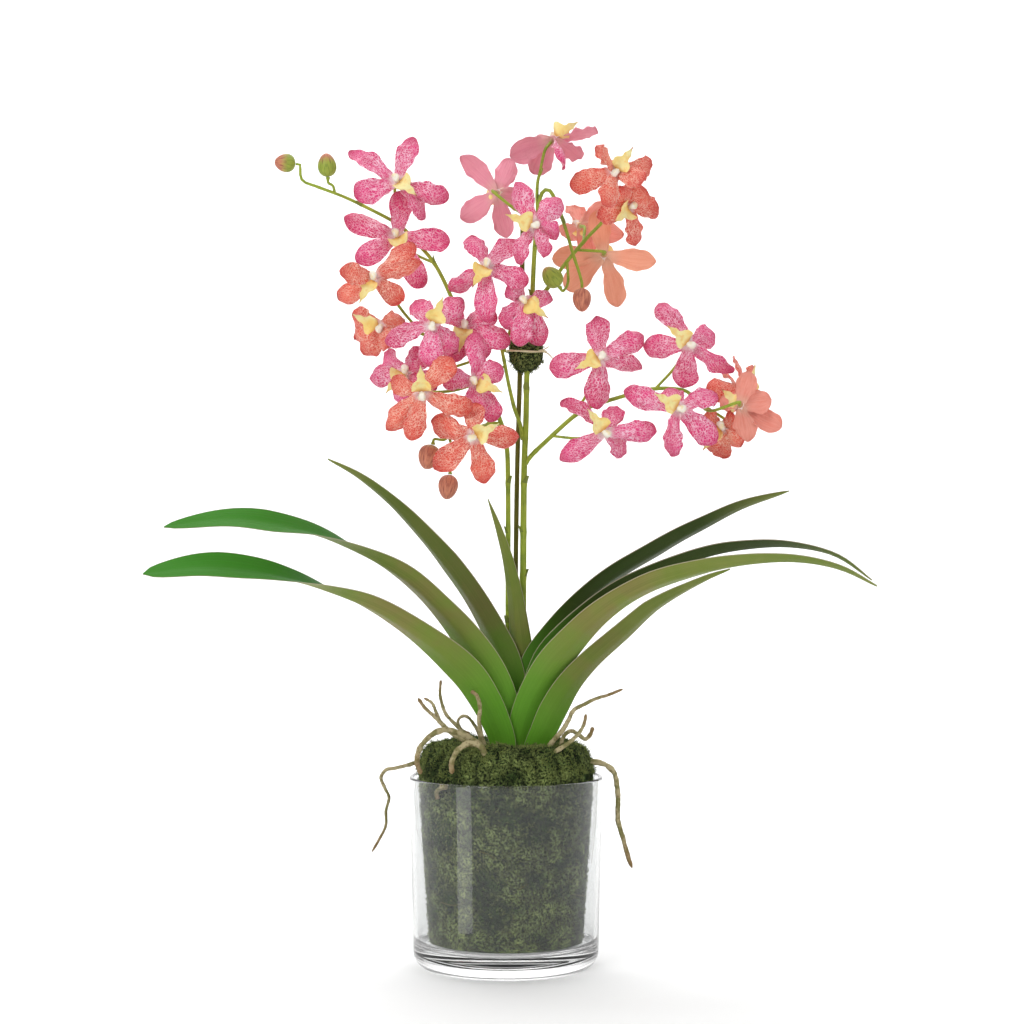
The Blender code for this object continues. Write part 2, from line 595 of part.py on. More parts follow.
# Where each bloom's stalk leaves its stem, and any point that it passes
RIGHT_STALKS = {
    "bloom_08": [(505, 366, 9)], "bloom_18": [(504, 352, 7.5)], "bloom_17": [(494, 337, 7)],
    "bloom_10": [(537, 222, 6)], "bloom_11": [(540, 172, 9)], "bloom_16": [(537, 215, 6)],
    "bloom_12": [(614, 202, 11)], "bloom_13": [(607, 214, 13)], "bloom_14": [(577, 250, 15)],
    "bloom_15": [(583, 243, 15.5)], "bloom_20": [(574, 416, 8)], "bloom_21": [(655, 389, 4)],
    "bloom_22": [(552, 436, 11)], "bloom_23": [(640, 392, 4)], "bloom_24": [(706, 407, 3.5)],
    "bloom_25": [(698, 402, 4), (710, 411, -20)], "bloom_26": [(700, 403, 4)],
}
LEFT_STALKS = {
    "bloom_01": [(396, 224, 11)], "bloom_02": [(434, 263, 14)], "bloom_03": [(424, 335, 14)],
    "bloom_04": [(412, 331, 12)], "bloom_05": [(438, 336, 14)], "bloom_06": [(484, 381, 10.5)],
    "bloom_07": [(476, 360, 9.5)], "bloom_09": [(497, 412, 11.5)], "bloom_19": [(466, 336, 9.5)],
}

# Buds: centre, nose, half length and radius, and where the stalk comes from
BUDS = {
    "bud_1": ((285, 163, -4), (275, 162), 0.0075, 0.0065, None),
    "bud_2": ((327, 165, 0), (326, 152), 0.0085, 0.0066, [(335, 194, 0), (333, 186, 0)]),
    "bud_3": ((582, 300, -4), (582, 313), 0.0085, 0.0066, None),
    "bud_4": ((552, 277, 2), (541, 263), 0.0085, 0.0070, [(567, 262, 14), (568, 282, 10)]),
    "bud_5": ((429, 457, -16), (425, 470), 0.0090, 0.0078, [(449, 437, -4), (443, 440, -10)]),
    "bud_6": ((448, 487, -6), (446, 500), 0.0090, 0.0070, [(449, 437, -4), (453, 452, -6)]),
}


def bud_shape(name):
    """A bud's centre, the way that it points, and its half length and radius."""
    centre, nose, half_length, radius, foot = BUDS[name]
    middle = seen(*centre)
    way = (seen(nose[0], nose[1], centre[2]) - middle).normalized()
    return middle, way, half_length, radius


def make_bud(name, look):
    """An egg-shaped bud, fuller at its stalk than at its nose."""
    middle, way, half_length, radius = bud_shape(name)
    form = bmesh.new()
    bmesh.ops.create_uvsphere(form, u_segments=7, v_segments=5, radius=1)
    for corner in form.verts:
        height = corner.co.z
        girth = radius * (1 - 0.18 * height)
        corner.co = Vector((corner.co.x * girth, corner.co.y * girth, height * half_length))
    aim = way.to_track_quat("Z", "Y").to_matrix().to_4x4()
    bmesh.ops.transform(form, matrix=Matrix.Translation(middle) @ aim, verts=form.verts[:])
    return finish(object_from(name, form), look)


def bud_end(name):
    """Where a stem or stalk meets a bud, and the way that the bud points."""
    middle, way, half_length, radius = bud_shape(name)
    return middle - way * (half_length + GAP), way


def bud_stalk(name, radius):
    """A stalk that ends square at the bud's back."""
    end, way = bud_end(name)
    route = seen_all(BUDS[name][4]) + [end - way * 0.004, end]
    return tapered_tube(name + "_stalk", route, radius, radius)


def stalk(bloom, points):
    """A flower stalk that leaves its stem at the first point and arrives square at the bloom's back."""
    end, face = bloom_back(bloom)
    route = seen_all(points)
    distance = (end - route[-1]).length
    lead = min(0.012, distance * 0.45)
    if distance > SAGGING_STALK:
        route.append(route[-1].lerp(end - face * lead, 0.5) + Vector((0, 0, -distance * 0.04)))
    route += [end - face * lead, end]
    return tapered_tube("stalk_" + bloom, route, STALK_RADIUS * 0.9, STALK_RADIUS * 1.1)


def branch(name, points, radius_start, radius_end):
    return tapered_tube(name, seen_all(points), radius_start, radius_end)


def stem(name, points, tip_bud, radius_start, radius_end):
    """A main stem: it stands square in its hole in the moss and ends at its last bud."""
    above = seen_all(points)
    foot = Vector((above[0].x, above[0].y, SOCKET_FLOOR + GAP))
    end, way = bud_end(tip_bud)
    make_socket(name + "_hole", foot, radius_start)
    route = [foot] + above + [end - way * 0.003, end]
    return tapered_tube(name, route, radius_start, radius_end, ORCHID, 1, STEM_HOLD)


def make_stem_right(look):
    pieces = [stem("flower_stem_right", STEM_RIGHT[:-1], "bud_3", STEM_RIGHT_RADIUS, 0.0010)]
    pieces.append(branch("branch_left", BRANCH_LEFT, 0.0016, 0.0011))
    pieces.append(branch("branch_high", BRANCH_HIGH, 0.0016, 0.0011))
    pieces.append(branch("branch_top", BRANCH_TOP, 0.0014, 0.0011))
    pieces.append(branch("branch_low", BRANCH_LOW, 0.0018, 0.0012))
    for bloom, points in RIGHT_STALKS.items():
        pieces.append(stalk(bloom, points))
    pieces.append(bud_stalk("bud_4", 0.0010))
    return finish(fused("flower_stem_right", pieces), look)


def make_stem_left(look):
    pieces = [stem("flower_stem_left", STEM_LEFT[:-1], "bud_1", STEM_LEFT_RADIUS, 0.0010)]
    pieces.append(branch("twig_low", TWIG_LOW, 0.0015, 0.0011))
    pieces.append(branch("twig_middle", TWIG_MIDDLE, 0.0015, 0.0011))
    for bloom, points in LEFT_STALKS.items():
        pieces.append(stalk(bloom, points))
    for bud in ("bud_2", "bud_5", "bud_6"):
        pieces.append(bud_stalk(bud, 0.0010))
    return finish(fused("flower_stem_left", pieces), look)


# The stake behind the stems, and the moss ball that ties it to the right stem, with a string round the ball
STAKE_ROUTE = [(514, 742, 26), (515, 640, 26), (517, 479, 24), (520, 371, 22), (522, 285, 20), (523, 198, 18)]
TIE_CENTRE = (526, 352, 17)
TIE_RADII = Vector((0.0135, 0.0135, 0.0165))
TIE_STRING_RADIUS = 0.0007
TIE_STRING_BAND = 0.0035


def make_stake(look):
    above = seen_all(STAKE_ROUTE)
    foot = Vector((above[0].x, above[0].y, SOCKET_FLOOR + GAP))
    make_socket("stake_hole", foot, STAKE_RADIUS)
    return finish(tapered_tube("support_stake", [foot] + above, STAKE_RADIUS, STAKE_RADIUS, ORCHID, 1), look)


def make_tie(look):
    """The moss ball: lumpy, smooth in a band for the string, with holes for the stake and the stem."""
    centre = seen(*TIE_CENTRE)
    form = bmesh.new()
    bmesh.ops.create_icosphere(form, subdivisions=2, radius=1)
    for corner in form.verts:
        away = smooth_step(TIE_STRING_BAND, 3 * TIE_STRING_BAND, abs(corner.co.z * TIE_RADII.z))
        swell = 1 + 0.12 * away * noise.noise(corner.co * 2.5)
        corner.co = centre + corner.co * swell * TIE_RADII
    ball = object_from("moss_tie", form)
    channels = new_collection("tie_channels")
    for name, points, radius in (("stake", STAKE_ROUTE[2:5], STAKE_RADIUS), ("stem", STEM_RIGHT[3:7], STEM_RIGHT_RADIUS)):
        route = seen_all(points)
        make_cutter(tapered_tube(name + "_channel", route, radius + GAP, radius + GAP, channels, 1))
    holes = ball.modifiers.new("Holes", "BOOLEAN")
    holes.operation = "DIFFERENCE"
    holes.operand_type = "COLLECTION"
    holes.collection = channels
    return finish(settled(ball), look)


def make_string(look):
    """The string: one turn round the ball, with two loose ends at its right."""
    centre = seen(*TIE_CENTRE)
    reach = TIE_RADII.x + GAP + TIE_STRING_RADIUS
    turns = 16
    ring = [centre + Vector((math.cos(a), math.sin(a), 0)) * reach
            for a in (2 * math.pi * step / turns for step in range(turns))]
    pieces = [tube("tie_string", ring, [TIE_STRING_RADIUS] * turns, ORCHID, True)]
    for number, (rise, turn) in enumerate(((0.003, -0.9), (-0.006, -0.6))):
        start = centre + Vector((math.cos(turn), math.sin(turn), 0)) * reach
        way = Vector((math.cos(turn + 0.5), math.sin(turn + 0.5), 0))
        route = [start, start + way * 0.004 + Vector((0, 0, rise * 0.3)), start + way * 0.008 + Vector((0, 0, rise))]
        pieces.append(tapered_tube(f"string_end_{number}", route, TIE_STRING_RADIUS * 0.9, 0.0004))
    return finish(fused("tie_string", pieces), look)


# Aerial roots: the routes as (across, down, depth), each with its radii at the two ends in millimetres; the
# first route is the root and any others are its side shoots. What lies in the moss lies in a hole of its own.
ROOTS = {
    "root_arch_left": [([(484, 760, -40), (482, 748, -40), (470, 738, -44), (455, 732, -48), (443, 730, -51),
                         (430, 736, -54), (420, 748, -55), (417, 762, -53), (421, 774, -48)], 2.3, 1.8)],
    "root_arch_front": [([(486, 762, -50), (482, 748, -53), (470, 743, -57), (458, 750, -60), (452, 762, -61),
                          (452, 774, -60)], 2.3, 1.7)],
    "root_forked": [([(478, 760, -30), (472, 748, -30), (460, 738, -31), (449, 731, -31), (440, 722, -32),
                      (434, 716, -33), (425, 708, -34), (418, 698, -35)], 2.2, 1.1),
                    ([(440, 722, -32), (436, 712, -30), (432, 703, -28), (424, 698, -27)], 1.4, 0.9)],
    "root_green": [([(484, 760, -21), (474, 744, -21), (457, 726, -21), (446, 714, -20), (441, 700, -19),
                     (440, 691, -18), (441, 680, -17)], 1.6, 0.9)],
    "root_hooked": [([(487, 762, -27), (485, 748, -28), (481, 734, -30), (479, 720, -30), (480, 708, -29),
                      (477, 696, -28), (471, 691, -27)], 1.8, 1.3)],
    "root_loop": [([(484, 762, -8), (482, 748, -8), (478, 732, -8), (470, 719, -8), (463, 716, -8), (458, 721, -8),
                    (461, 729, -7), (470, 734, -6)], 1.3, 1.0)],
    "root_hanging_left": [([(430, 764, 0), (420, 762, -1), (408, 765, -2), (396, 768, -2), (386, 770, -2),
                            (381, 778, -2), (385, 788, -2), (389, 798, -2), (386, 811, -2), (386, 825, -2),
                            (380, 838, -3), (372, 852, -4)], 1.5, 0.9)],
    "root_hanging_right": [([(584, 763, -8), (595, 762, -8), (606, 765, -8), (614, 773, -8), (617, 785, -8),
                             (618, 800, -8), (618, 820, -8), (623, 838, -8), (627, 853, -9), (632, 868, -10)],
                            2.1, 1.6)],
    "root_far_right": [([(538, 764, -31), (545, 752, -31), (553, 741, -31), (562, 731, -31), (568, 721, -30),
                         (574, 710, -29), (585, 704, -28), (595, 699, -27), (608, 695, -25), (623, 689, -24)],
                        2.1, 1.0)],
    "root_bent_right": [([(545, 768, -44), (548, 757, -43), (561, 748, -41), (571, 741, -39), (579, 733, -37),
                          (584, 724, -36), (586, 714, -35)], 1.8, 1.1)],
    "root_blob_right": [([(557, 760, -20), (560, 748, -20), (564, 736, -20), (571, 731, -20), (579, 735, -20),
                          (585, 739, -20), (590, 735, -20), (593, 727, -20)], 1.5, 1.5)],
}


def make_root(name, look):
    """A root and its side shoots, and the cutter for the hole that it stands in."""
    pieces = []
    for number, (points, start, end) in enumerate(ROOTS[name]):
        route = seen_all(points)
        label = f"{name}_shoot_{number}" if number else name
        pieces.append(tapered_tube(label, route, start * MM, end * MM))
        if number == 0:
            ends = [route[0] + (route[0] - route[1]).normalized() * GAP] + route[1:-1]
            ends.append(route[-1] + (route[-1] - route[-2]).normalized() * GAP)
            make_cutter(tapered_tube(name + "_hole", ends, start * MM + GAP, end * MM + GAP, CUTTERS))
    return finish(fused(name, pieces) if len(pieces) > 1 else pieces[0], look)


def main():
    leaf_look = material("leaf", LEAF, 0.38)
    for name in LEAVES:
        make_leaf(name, leaf_look)
    stem_look = material("stem", STEM, 0.45)
    make_stem_right(stem_look)
    make_stem_left(stem_look)
    make_stake(material("stake", STAKE, 0.6))
    root_look = material("root", ROOT, 0.75)
    for name in ROOTS:
        make_root(name, root_look)
    make_leaf_pocket()
    moss_look = material("moss", MOSS, 0.95)
    finish(make_moss(), moss_look)
    make_tie(moss_look)
    make_string(material("string", STRING, 0.8))
    finish(make_vase(), material("glass", GLASS, 0.03, 0.35))
    tepal_looks = {
        "pink": material("pink_tepals", PINK, 0.5),
        "salmon": material("salmon_tepals", SALMON, 0.5),
        "orange": material("orange_tepals", ORANGE, 0.5),
    }
    for name in BLOOMS:
        make_bloom(name, tepal_looks)
    bud_look = material("bud", BUD, 0.5)
    for name in BUDS:
        make_bud(name, bud_look)


main()
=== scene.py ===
"""Dress the vanda orchid in its vase: fine petals, leaves, stems, moss and roots over the frame."""

import math
import random

import bmesh
import bpy
from mathutils import Matrix, Vector, noise


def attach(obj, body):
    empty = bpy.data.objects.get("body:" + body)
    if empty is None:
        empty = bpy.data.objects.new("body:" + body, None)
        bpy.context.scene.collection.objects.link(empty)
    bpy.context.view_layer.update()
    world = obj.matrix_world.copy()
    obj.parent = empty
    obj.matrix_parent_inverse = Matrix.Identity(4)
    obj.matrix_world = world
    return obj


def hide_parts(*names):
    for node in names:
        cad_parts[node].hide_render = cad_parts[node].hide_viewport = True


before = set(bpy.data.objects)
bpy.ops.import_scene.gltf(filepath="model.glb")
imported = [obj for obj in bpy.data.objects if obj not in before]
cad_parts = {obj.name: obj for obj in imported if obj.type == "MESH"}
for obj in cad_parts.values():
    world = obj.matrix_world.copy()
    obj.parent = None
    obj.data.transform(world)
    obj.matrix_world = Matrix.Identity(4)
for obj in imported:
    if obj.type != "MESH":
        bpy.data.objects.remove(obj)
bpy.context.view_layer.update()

MM = 0.001
SHARP_ANGLE = math.radians(60)

# Sizes in metres
RIM_RADIUS = 0.0695
BASE_RADIUS = 0.0666
VASE_HEIGHT = 0.137
WALL = 0.003
BASE_THICKNESS = 0.0155
BASE_ROUNDING = 0.012
MOSS_TOP_RADIUS = 0.0645
MOSS_BOTTOM_RADIUS = 0.0565
MOSS_RISE = 0.024
GAP = 0.0003
LEAF_THICKNESS = 0.0011
LEAF_WIDTH = 0.028
STAKE_RADIUS = 0.0018
STEM_RIGHT_RADIUS = 0.0026
STEM_LEFT_RADIUS = 0.0020
STEM_TIP_RADIUS = 0.0010
STALK_RADIUS = 0.0011
SAGGING_STALK = 0.030
TEPAL_LENGTH = 0.038
TEPAL_WIDTH = 0.0185
TEPAL_THICKNESS = 0.0008
LIP_WIDTH = 0.0115
LIP_LENGTH = 0.019
COLUMN_LENGTH = 0.007
HUB_BACK = 0.0065
HUB_FRONT = 0.0012
POCKET_FLOOR = 0.134
SOCKET_FLOOR = 0.105

# The photograph's frame: what shows at pixel (across, down) lies on its line of sight, at its depth y
IMAGE_CENTRE = 512
IMAGE_WIDTH = 1024
FOCAL_PIXELS = 2435
EYE = Vector((0.0043, -1.75, 0.3265))
SENSOR = 36


def seen(across, down, depth=0.0):
    """The point at a depth in millimetres that shows at a pixel of the photograph."""
    y = depth * MM
    spread = (y - EYE.y) / FOCAL_PIXELS
    return Vector((EYE.x + (across - IMAGE_CENTRE) * spread, y, EYE.z + (IMAGE_CENTRE - down) * spread))


def seen_all(points):
    return [seen(*point) for point in points]


def smooth_step(low, high, value):
    t = min(max((value - low) / (high - low), 0.0), 1.0)
    return t * t * (3 - 2 * t)


def smooth_route(points, steps):
    """A Catmull-Rom curve through the points, with a number of steps between each two."""
    ends = [2 * points[0] - points[1]] + list(points) + [2 * points[-1] - points[-2]]
    route = []
    for a, b, c, d in zip(ends, ends[1:], ends[2:], ends[3:]):
        for step in range(steps):
            t = step / steps
            route.append(0.5 * (2 * b + (c - a) * t + (2 * a - 5 * b + 4 * c - d) * t * t
                                + (3 * b - a - 3 * c + d) * t ** 3))
    route.append(points[-1].copy())
    return route


def evenly(route, count):
    """Points at equal distances along a route, its two ends among them."""
    lengths = [0.0]
    for a, b in zip(route, route[1:]):
        lengths.append(lengths[-1] + (b - a).length)
    spaced = []
    index = 0
    for number in range(count + 1):
        target = lengths[-1] * number / count
        while index < len(route) - 2 and lengths[index + 1] < target:
            index += 1
        share = (target - lengths[index]) / (lengths[index + 1] - lengths[index])
        spaced.append(route[index].lerp(route[index + 1], min(share, 1.0)))
    return spaced


def route_length(route):
    return sum((b - a).length for a, b in zip(route, route[1:]))


def tint(red, green, blue):
    """A colour given as it shows, 0 to 255, as linear red, green, blue and alpha."""
    shares = [channel / 255 for channel in (red, green, blue)]
    linear = [share / 12.92 if share <= 0.04045 else ((share + 0.055) / 1.055) ** 2.4 for share in shares]
    return (*linear, 1.0)


# Materials

class Signal:
    """A shader socket that takes part in sums and products like a number."""

    def __init__(self, look, socket):
        self.look = look
        self.socket = socket

    def math(self, operation, *values):
        made = self.look.node("Math", {"operation": operation}, dict(enumerate(values)))
        return Signal(self.look, made.outputs[0])

    def __add__(self, other):
        return self.math("ADD", self, other)

    def __sub__(self, other):
        return self.math("SUBTRACT", self, other)

    def __rsub__(self, other):
        return self.math("SUBTRACT", other, self)

    def __mul__(self, other):
        return self.math("MULTIPLY", self, other)

    def __abs__(self):
        return self.math("ABSOLUTE", self)

    __radd__ = __add__
    __rmul__ = __mul__

    def step(self, low, high):
        """0 below low, 1 above high, and smooth between."""
        made = self.look.node("MapRange", {"interpolation_type": "SMOOTHSTEP"},
                              {"Value": self, "From Min": low, "From Max": high})
        return Signal(self.look, made.outputs[0])


class Look:
    """A material of nodes, made round its Principled shader."""

    def __init__(self, name, **fixed):
        self.material = bpy.data.materials.new(name)
        self.material.use_nodes = True
        self.tree = self.material.node_tree
        self.shader = self.tree.nodes["Principled BSDF"]
        for socket, value in fixed.items():
            self.shader.inputs[socket.replace("_", " ").title().replace("Ior", "IOR")].default_value = value

    def node(self, kind, settings, sockets):
        """Add a node, with its settings first and then the values or links of its sockets."""
        made = self.tree.nodes.new("ShaderNode" + kind)
        for setting, value in settings.items():
            setattr(made, setting, value)
        for socket, value in sockets.items():
            self.feed(made.inputs[socket], value)
        return made

    def feed(self, socket, value):
        if isinstance(value, Signal):
            self.tree.links.new(value.socket, socket)
        else:
            socket.default_value = value

    def attribute(self, name):
        return Signal(self, self.node("Attribute", {"attribute_name": name}, {}).outputs["Fac"])

    def place(self):
        return Signal(self, self.node("TexCoord", {}, {}).outputs["Object"])

    def height(self):
        return Signal(self, self.node("SeparateXYZ", {}, {"Vector": self.place()}).outputs["Z"])

    def spread(self, across, along, third=0.0):
        made = self.node("CombineXYZ", {}, {"X": across, "Y": along, "Z": third})
        return Signal(self, made.outputs[0])

    def grain(self, scale, detail=3.0, where=None, roughness=0.55):
        """Cloudy noise about 0.5, at a scale per metre on the object, or on a place of its own."""
        made = self.node("TexNoise", {}, {"Vector": where or self.place(), "Scale": scale, "Detail": detail,
                                          "Roughness": roughness})
        return Signal(self, made.outputs["Fac"])

    def cells(self, scale, feature="F1", where=None):
        sockets = {"Vector": where or self.place(), "Scale": scale}
        return Signal(self, self.node("TexVoronoi", {"feature": feature}, sockets).outputs["Distance"])

    def fibres(self, around, along, detail=3.0):
        """Noise in strips along a rod, with how finely it changes round it and along it."""
        where = self.spread(self.attribute("around") * around, self.attribute("along") * along)
        return self.grain(1.0, detail, where)

    def mix(self, share, first, second):
        made = self.node("Mix", {"data_type": "RGBA"}, {0: share, 6: first, 7: second})
        return Signal(self, made.outputs[2])

    def colour(self, value):
        self.feed(self.shader.inputs["Base Color"], value)

    def rough(self, value):
        self.feed(self.shader.inputs["Roughness"], value)

    def relief(self, height, distance):
        bump = self.node("Bump", {}, {"Height": height, "Distance": distance, "Strength": 1.0})
        self.tree.links.new(bump.outputs[0], self.shader.inputs["Normal"])


def glass_look():
    """Clear soda glass, faintly uneven as pressed glass is, greyer in its wall than in its base, where a
    paler tint paints light.
    """
    look = Look("clear_glass", transmission_weight=1.0, ior=1.46, specular_ior_level=0.36)
    wall = look.mix(look.grain(9, 1.0), (0.74, 0.752, 0.75, 1), (0.79, 0.80, 0.797, 1))
    # Painted light: the base is tinted almost clear, so that it shows lighter than the grey wall.
    look.colour(look.mix(look.height().step(0.012, 0.026), (0.99, 0.99, 0.99, 1), wall))
    look.rough(0.004 + 0.012 * look.grain(25, 2.0))
    look.relief(look.grain(14, 0.0), 0.0004)
    return look.material


def moss_bed_look():
    """The felt of fine moss between the strands: pale crumbs in green and greyer patches, with painted shade
    dark in the creases.
    """
    look = Look("moss_bed", specular_ior_level=0.12)
    clumps = look.attribute("shade")
    patches = look.grain(46, 3.0).step(0.40, 0.60)
    crumbs = look.grain(640, 3.0, roughness=0.75)
    # Painted shade: the near-black under the pale crumbs, darkest in the creases between clumps, with fewer
    # pale crumbs there.
    low = look.mix(clumps * patches, tint(12, 18, 8), tint(36, 50, 20))
    high = look.mix(patches, tint(74, 98, 50), tint(164, 180, 108))
    look.colour(look.mix(crumbs.step(0.42, 0.60) * (0.3 + 0.7 * clumps), low, high))
    look.rough(0.95)
    look.relief(crumbs, 0.0022)
    return look.material


def moss_strand_look():
    """Reindeer moss with painted shade: dark strands in the creases and at their feet, paling to yellow-green
    on the clumps.
    """
    look = Look("moss_strands", specular_ior_level=0.15)
    # Painted light and shade: lit is high on the clump tops and at the strands' tips, and low in the creases
    # and at their feet.
    lit = look.attribute("shade") * 0.7 + look.attribute("along") * 0.5
    patches = look.grain(38, 3.0).step(0.36, 0.66)
    strand = look.grain(420, 1.0).step(0.3, 0.7)
    deep = look.mix(patches, tint(46, 58, 32), tint(62, 76, 36))
    pale = look.mix(strand * 0.6 + patches * 0.4, tint(98, 112, 64), tint(140, 150, 84))
    look.colour(look.mix(lit.step(0.15, 0.95), deep, pale))
    look.rough(0.9)
    return look.material


def leaf_look():
    """A strap leaf: bright at its base, deep green above, olive with purple patches below, fine veins, and
    painted shade on leaves in shadow.
    """
    look = Look("strap_leaf", specular_ior_level=0.13)
    along = look.attribute("along")
    across = look.attribute("across")
    upper = look.attribute("upper").step(0.3, 0.7)
    shade = look.attribute("shade")
    clouds = look.grain(22, 3.0)
    streaks = look.grain(1.0, 3.0, look.spread(across * 26, along * 3.0))
    top = look.mix(along.step(0.35, 0.95), tint(36, 80, 14), tint(64, 136, 38))
    # Painted shade: the upper face of a leaf that lies in shadow is darkened by its shade value.
    top = look.mix(shade, top, tint(48, 74, 14))
    under = look.mix(clouds.step(0.30, 0.62), tint(116, 134, 54), tint(134, 142, 70))
    turn = along.step(0.16, 0.34) * along.step(0.70, 0.45) * clouds.step(0.38, 0.66)
    under = look.mix(turn * 0.50, under, tint(132, 104, 70))
    # Painted shade: the underside of a leaf that lies in shadow is darkened by its shade value, less toward
    # its tip.
    under = look.mix(shade * along.step(1.10, 0.75), under, tint(38, 54, 10))
    face = look.mix(upper, under, top)
    face = look.mix(along.step(0.44, 0.10) * 0.9, face, tint(88, 152, 34))
    face = look.mix(streaks.step(0.35, 0.75) * 0.25, face, tint(54, 84, 22))
    face = look.mix(abs(across).step(0.955, 0.99) * 0.6, face, tint(186, 170, 150))
    look.colour(face)
    look.rough(0.38 + 0.18 * streaks)
    look.relief(streaks * 0.6 + look.grain(1.0, 1.0, look.spread(across * 60, along * 5.0)) * 0.5, 0.00025)
    return look.material


def stem_look():
    """Olive green stems with pale fibres, and browner bracts at their joints."""
    look = Look("flower_stem", specular_ior_level=0.35)
    blotches = look.grain(130, 3.0).step(0.4, 0.7)
    fibres = look.fibres(9, 30, 2.0)
    colour = look.mix(blotches, tint(146, 164, 50), tint(122, 142, 42))
    colour = look.mix(fibres.step(0.45, 0.8) * 0.6, colour, tint(196, 200, 84))
    look.colour(look.mix(look.attribute("node") * 0.6, colour, tint(96, 104, 48)))
    look.rough(0.42 + 0.2 * fibres)
    look.relief(fibres, 0.00015)
    return look.material


def stake_look():
    look = Look("stake_wood", specular_ior_level=0.25)
    fibres = look.fibres(12, 24, 4.0)
    look.colour(look.mix(fibres.step(0.3, 0.7), tint(84, 82, 28), tint(122, 116, 48)))
    look.rough(0.62 + 0.2 * fibres)
    look.relief(fibres, 0.0003)
    return look.material


def root_look():
    """Dry aerial roots: beige, with brown scars and olive patches."""
    look = Look("aerial_root", specular_ior_level=0.2)
    patches = look.grain(160, 3.0)
    scars = look.cells(420).step(0.42, 0.12)
    colour = look.mix(patches.step(0.42, 0.62), tint(176, 164, 126), tint(126, 122, 78))
    colour = look.mix(scars * 0.6, colour, tint(112, 90, 60))
    look.colour(look.mix(look.attribute("along").step(0.7, 1.0) * 0.7, colour, tint(128, 96, 62)))
    look.rough(0.78)
    look.relief(look.grain(700, 3.0), 0.0006)
    return look.material


def string_look():
    look = Look("raffia_string", specular_ior_level=0.3)
    fibres = look.fibres(16, 20)
    look.colour(look.mix(fibres.step(0.3, 0.7), tint(196, 182, 138), tint(232, 224, 190)))
    look.rough(0.6)
    look.relief(fibres, 0.0002)
    return look.material


def bud_look():
    """Buds: green at the stalk, rose-brown and streaked toward the nose."""
    look = Look("flower_bud", specular_ior_level=0.35)
    along = look.attribute("along")
    streaks = look.fibres(14, 2.5)
    turn = (along + look.attribute("ripe") + streaks * 0.5 - 0.25).step(0.32, 0.82)
    ripe = look.mix(streaks.step(0.35, 0.7), tint(208, 134, 104), tint(156, 86, 72))
    green = look.mix(streaks.step(0.4, 0.7), tint(156, 168, 66), tint(112, 132, 48))
    look.colour(look.mix(turn, green, ripe))
    look.rough(0.45 + 0.15 * streaks)
    look.relief(streaks + look.grain(500, 2.0) * 0.4, 0.0004)
    return look.material


def bloom_look(name, deep, fresh, fleck, back, back_vein):
    """A bloom: netted tepals, their smoother backs, the yellow lip and the cream column."""
    look = Look(name, specular_ior_level=0.25, sheen_weight=0.1)
    along = look.attribute("along")
    across = look.attribute("across")
    upper = look.attribute("upper").step(0.35, 0.65)
    organ = look.attribute("organ")
    seed = look.attribute("seed")
    shade = look.attribute("shade")
    wander = look.grain(60, 2.0)
    warp = look.grain(260, 2.0)
    veins = look.grain(1.0, 2.0, look.spread(across * 9, along * 2.2, seed))
    spot = look.spread(across * 4.8 + warp * 1.7, along * 24 + warp * 4.0, seed)
    net = look.cells(1.0, "DISTANCE_TO_EDGE", spot).step(0.15, 0.03)
    clear = look.grain(1.0, 2.0, look.spread(across * 2.2, along * 5.0, seed)).step(0.30, 0.62)
    pale = along.step(1.15, 0.25) * (0.30 + 0.70 * clear)
    tepal = look.mix(wander.step(0.3, 0.7) * 0.6 + shade * 0.4, deep, fresh)
    rim = along.step(0.62, 1.0) * 0.75 + abs(across).step(0.66, 1.0) * 0.45
    tepal = look.mix(pale * 0.12, tepal, fleck)
    tepal = look.mix(rim, tepal, deep)
    tepal = look.mix(net * (0.18 + 0.68 * pale), tepal, fleck)
    tepal = look.mix(along.step(0.15, 0.03) * 0.8, tepal, tint(252, 236, 236))
    rear = look.mix(veins.step(0.35, 0.75) * 0.45, back, back_vein)
    rear = look.mix(along.step(0.3, 0.0) * 0.5, rear, tint(226, 196, 170))
    tepal = look.mix(upper, rear, tepal)
    lip = look.mix(wander.step(0.35, 0.65), tint(255, 243, 178), tint(255, 226, 138))
    # Painted shade on the lip: patches of deeper orange across it, and orange at its root, in the recess
    # beside the column.
    lip = look.mix(warp.step(0.48, 0.70) * 0.5, lip, tint(250, 196, 104))
    lip = look.mix(along.step(0.76, 0.98) * shade.step(0.25, 0.75), lip, tint(190, 96, 72))
    lip = look.mix(along.step(0.20, 0.08) * 0.8, lip, tint(232, 164, 84))
    column = look.mix(along.step(0.35, 0.95), tint(250, 226, 222), tint(252, 246, 230))
    column = look.mix(warp.step(0.50, 0.62) * 0.6, column, tint(252, 228, 164))
    calyx = look.mix(along, tint(150, 160, 76), back)
    colour = look.mix(organ.step(0.4, 0.6), tepal, lip)
    colour = look.mix(organ.step(1.4, 1.6), colour, column)
    look.colour(look.mix(organ.step(2.4, 2.6), colour, calyx))
    look.rough(0.46 + 0.16 * veins)
    look.relief(veins * 0.8 + net * 0.25, 0.0004)
    return look.material


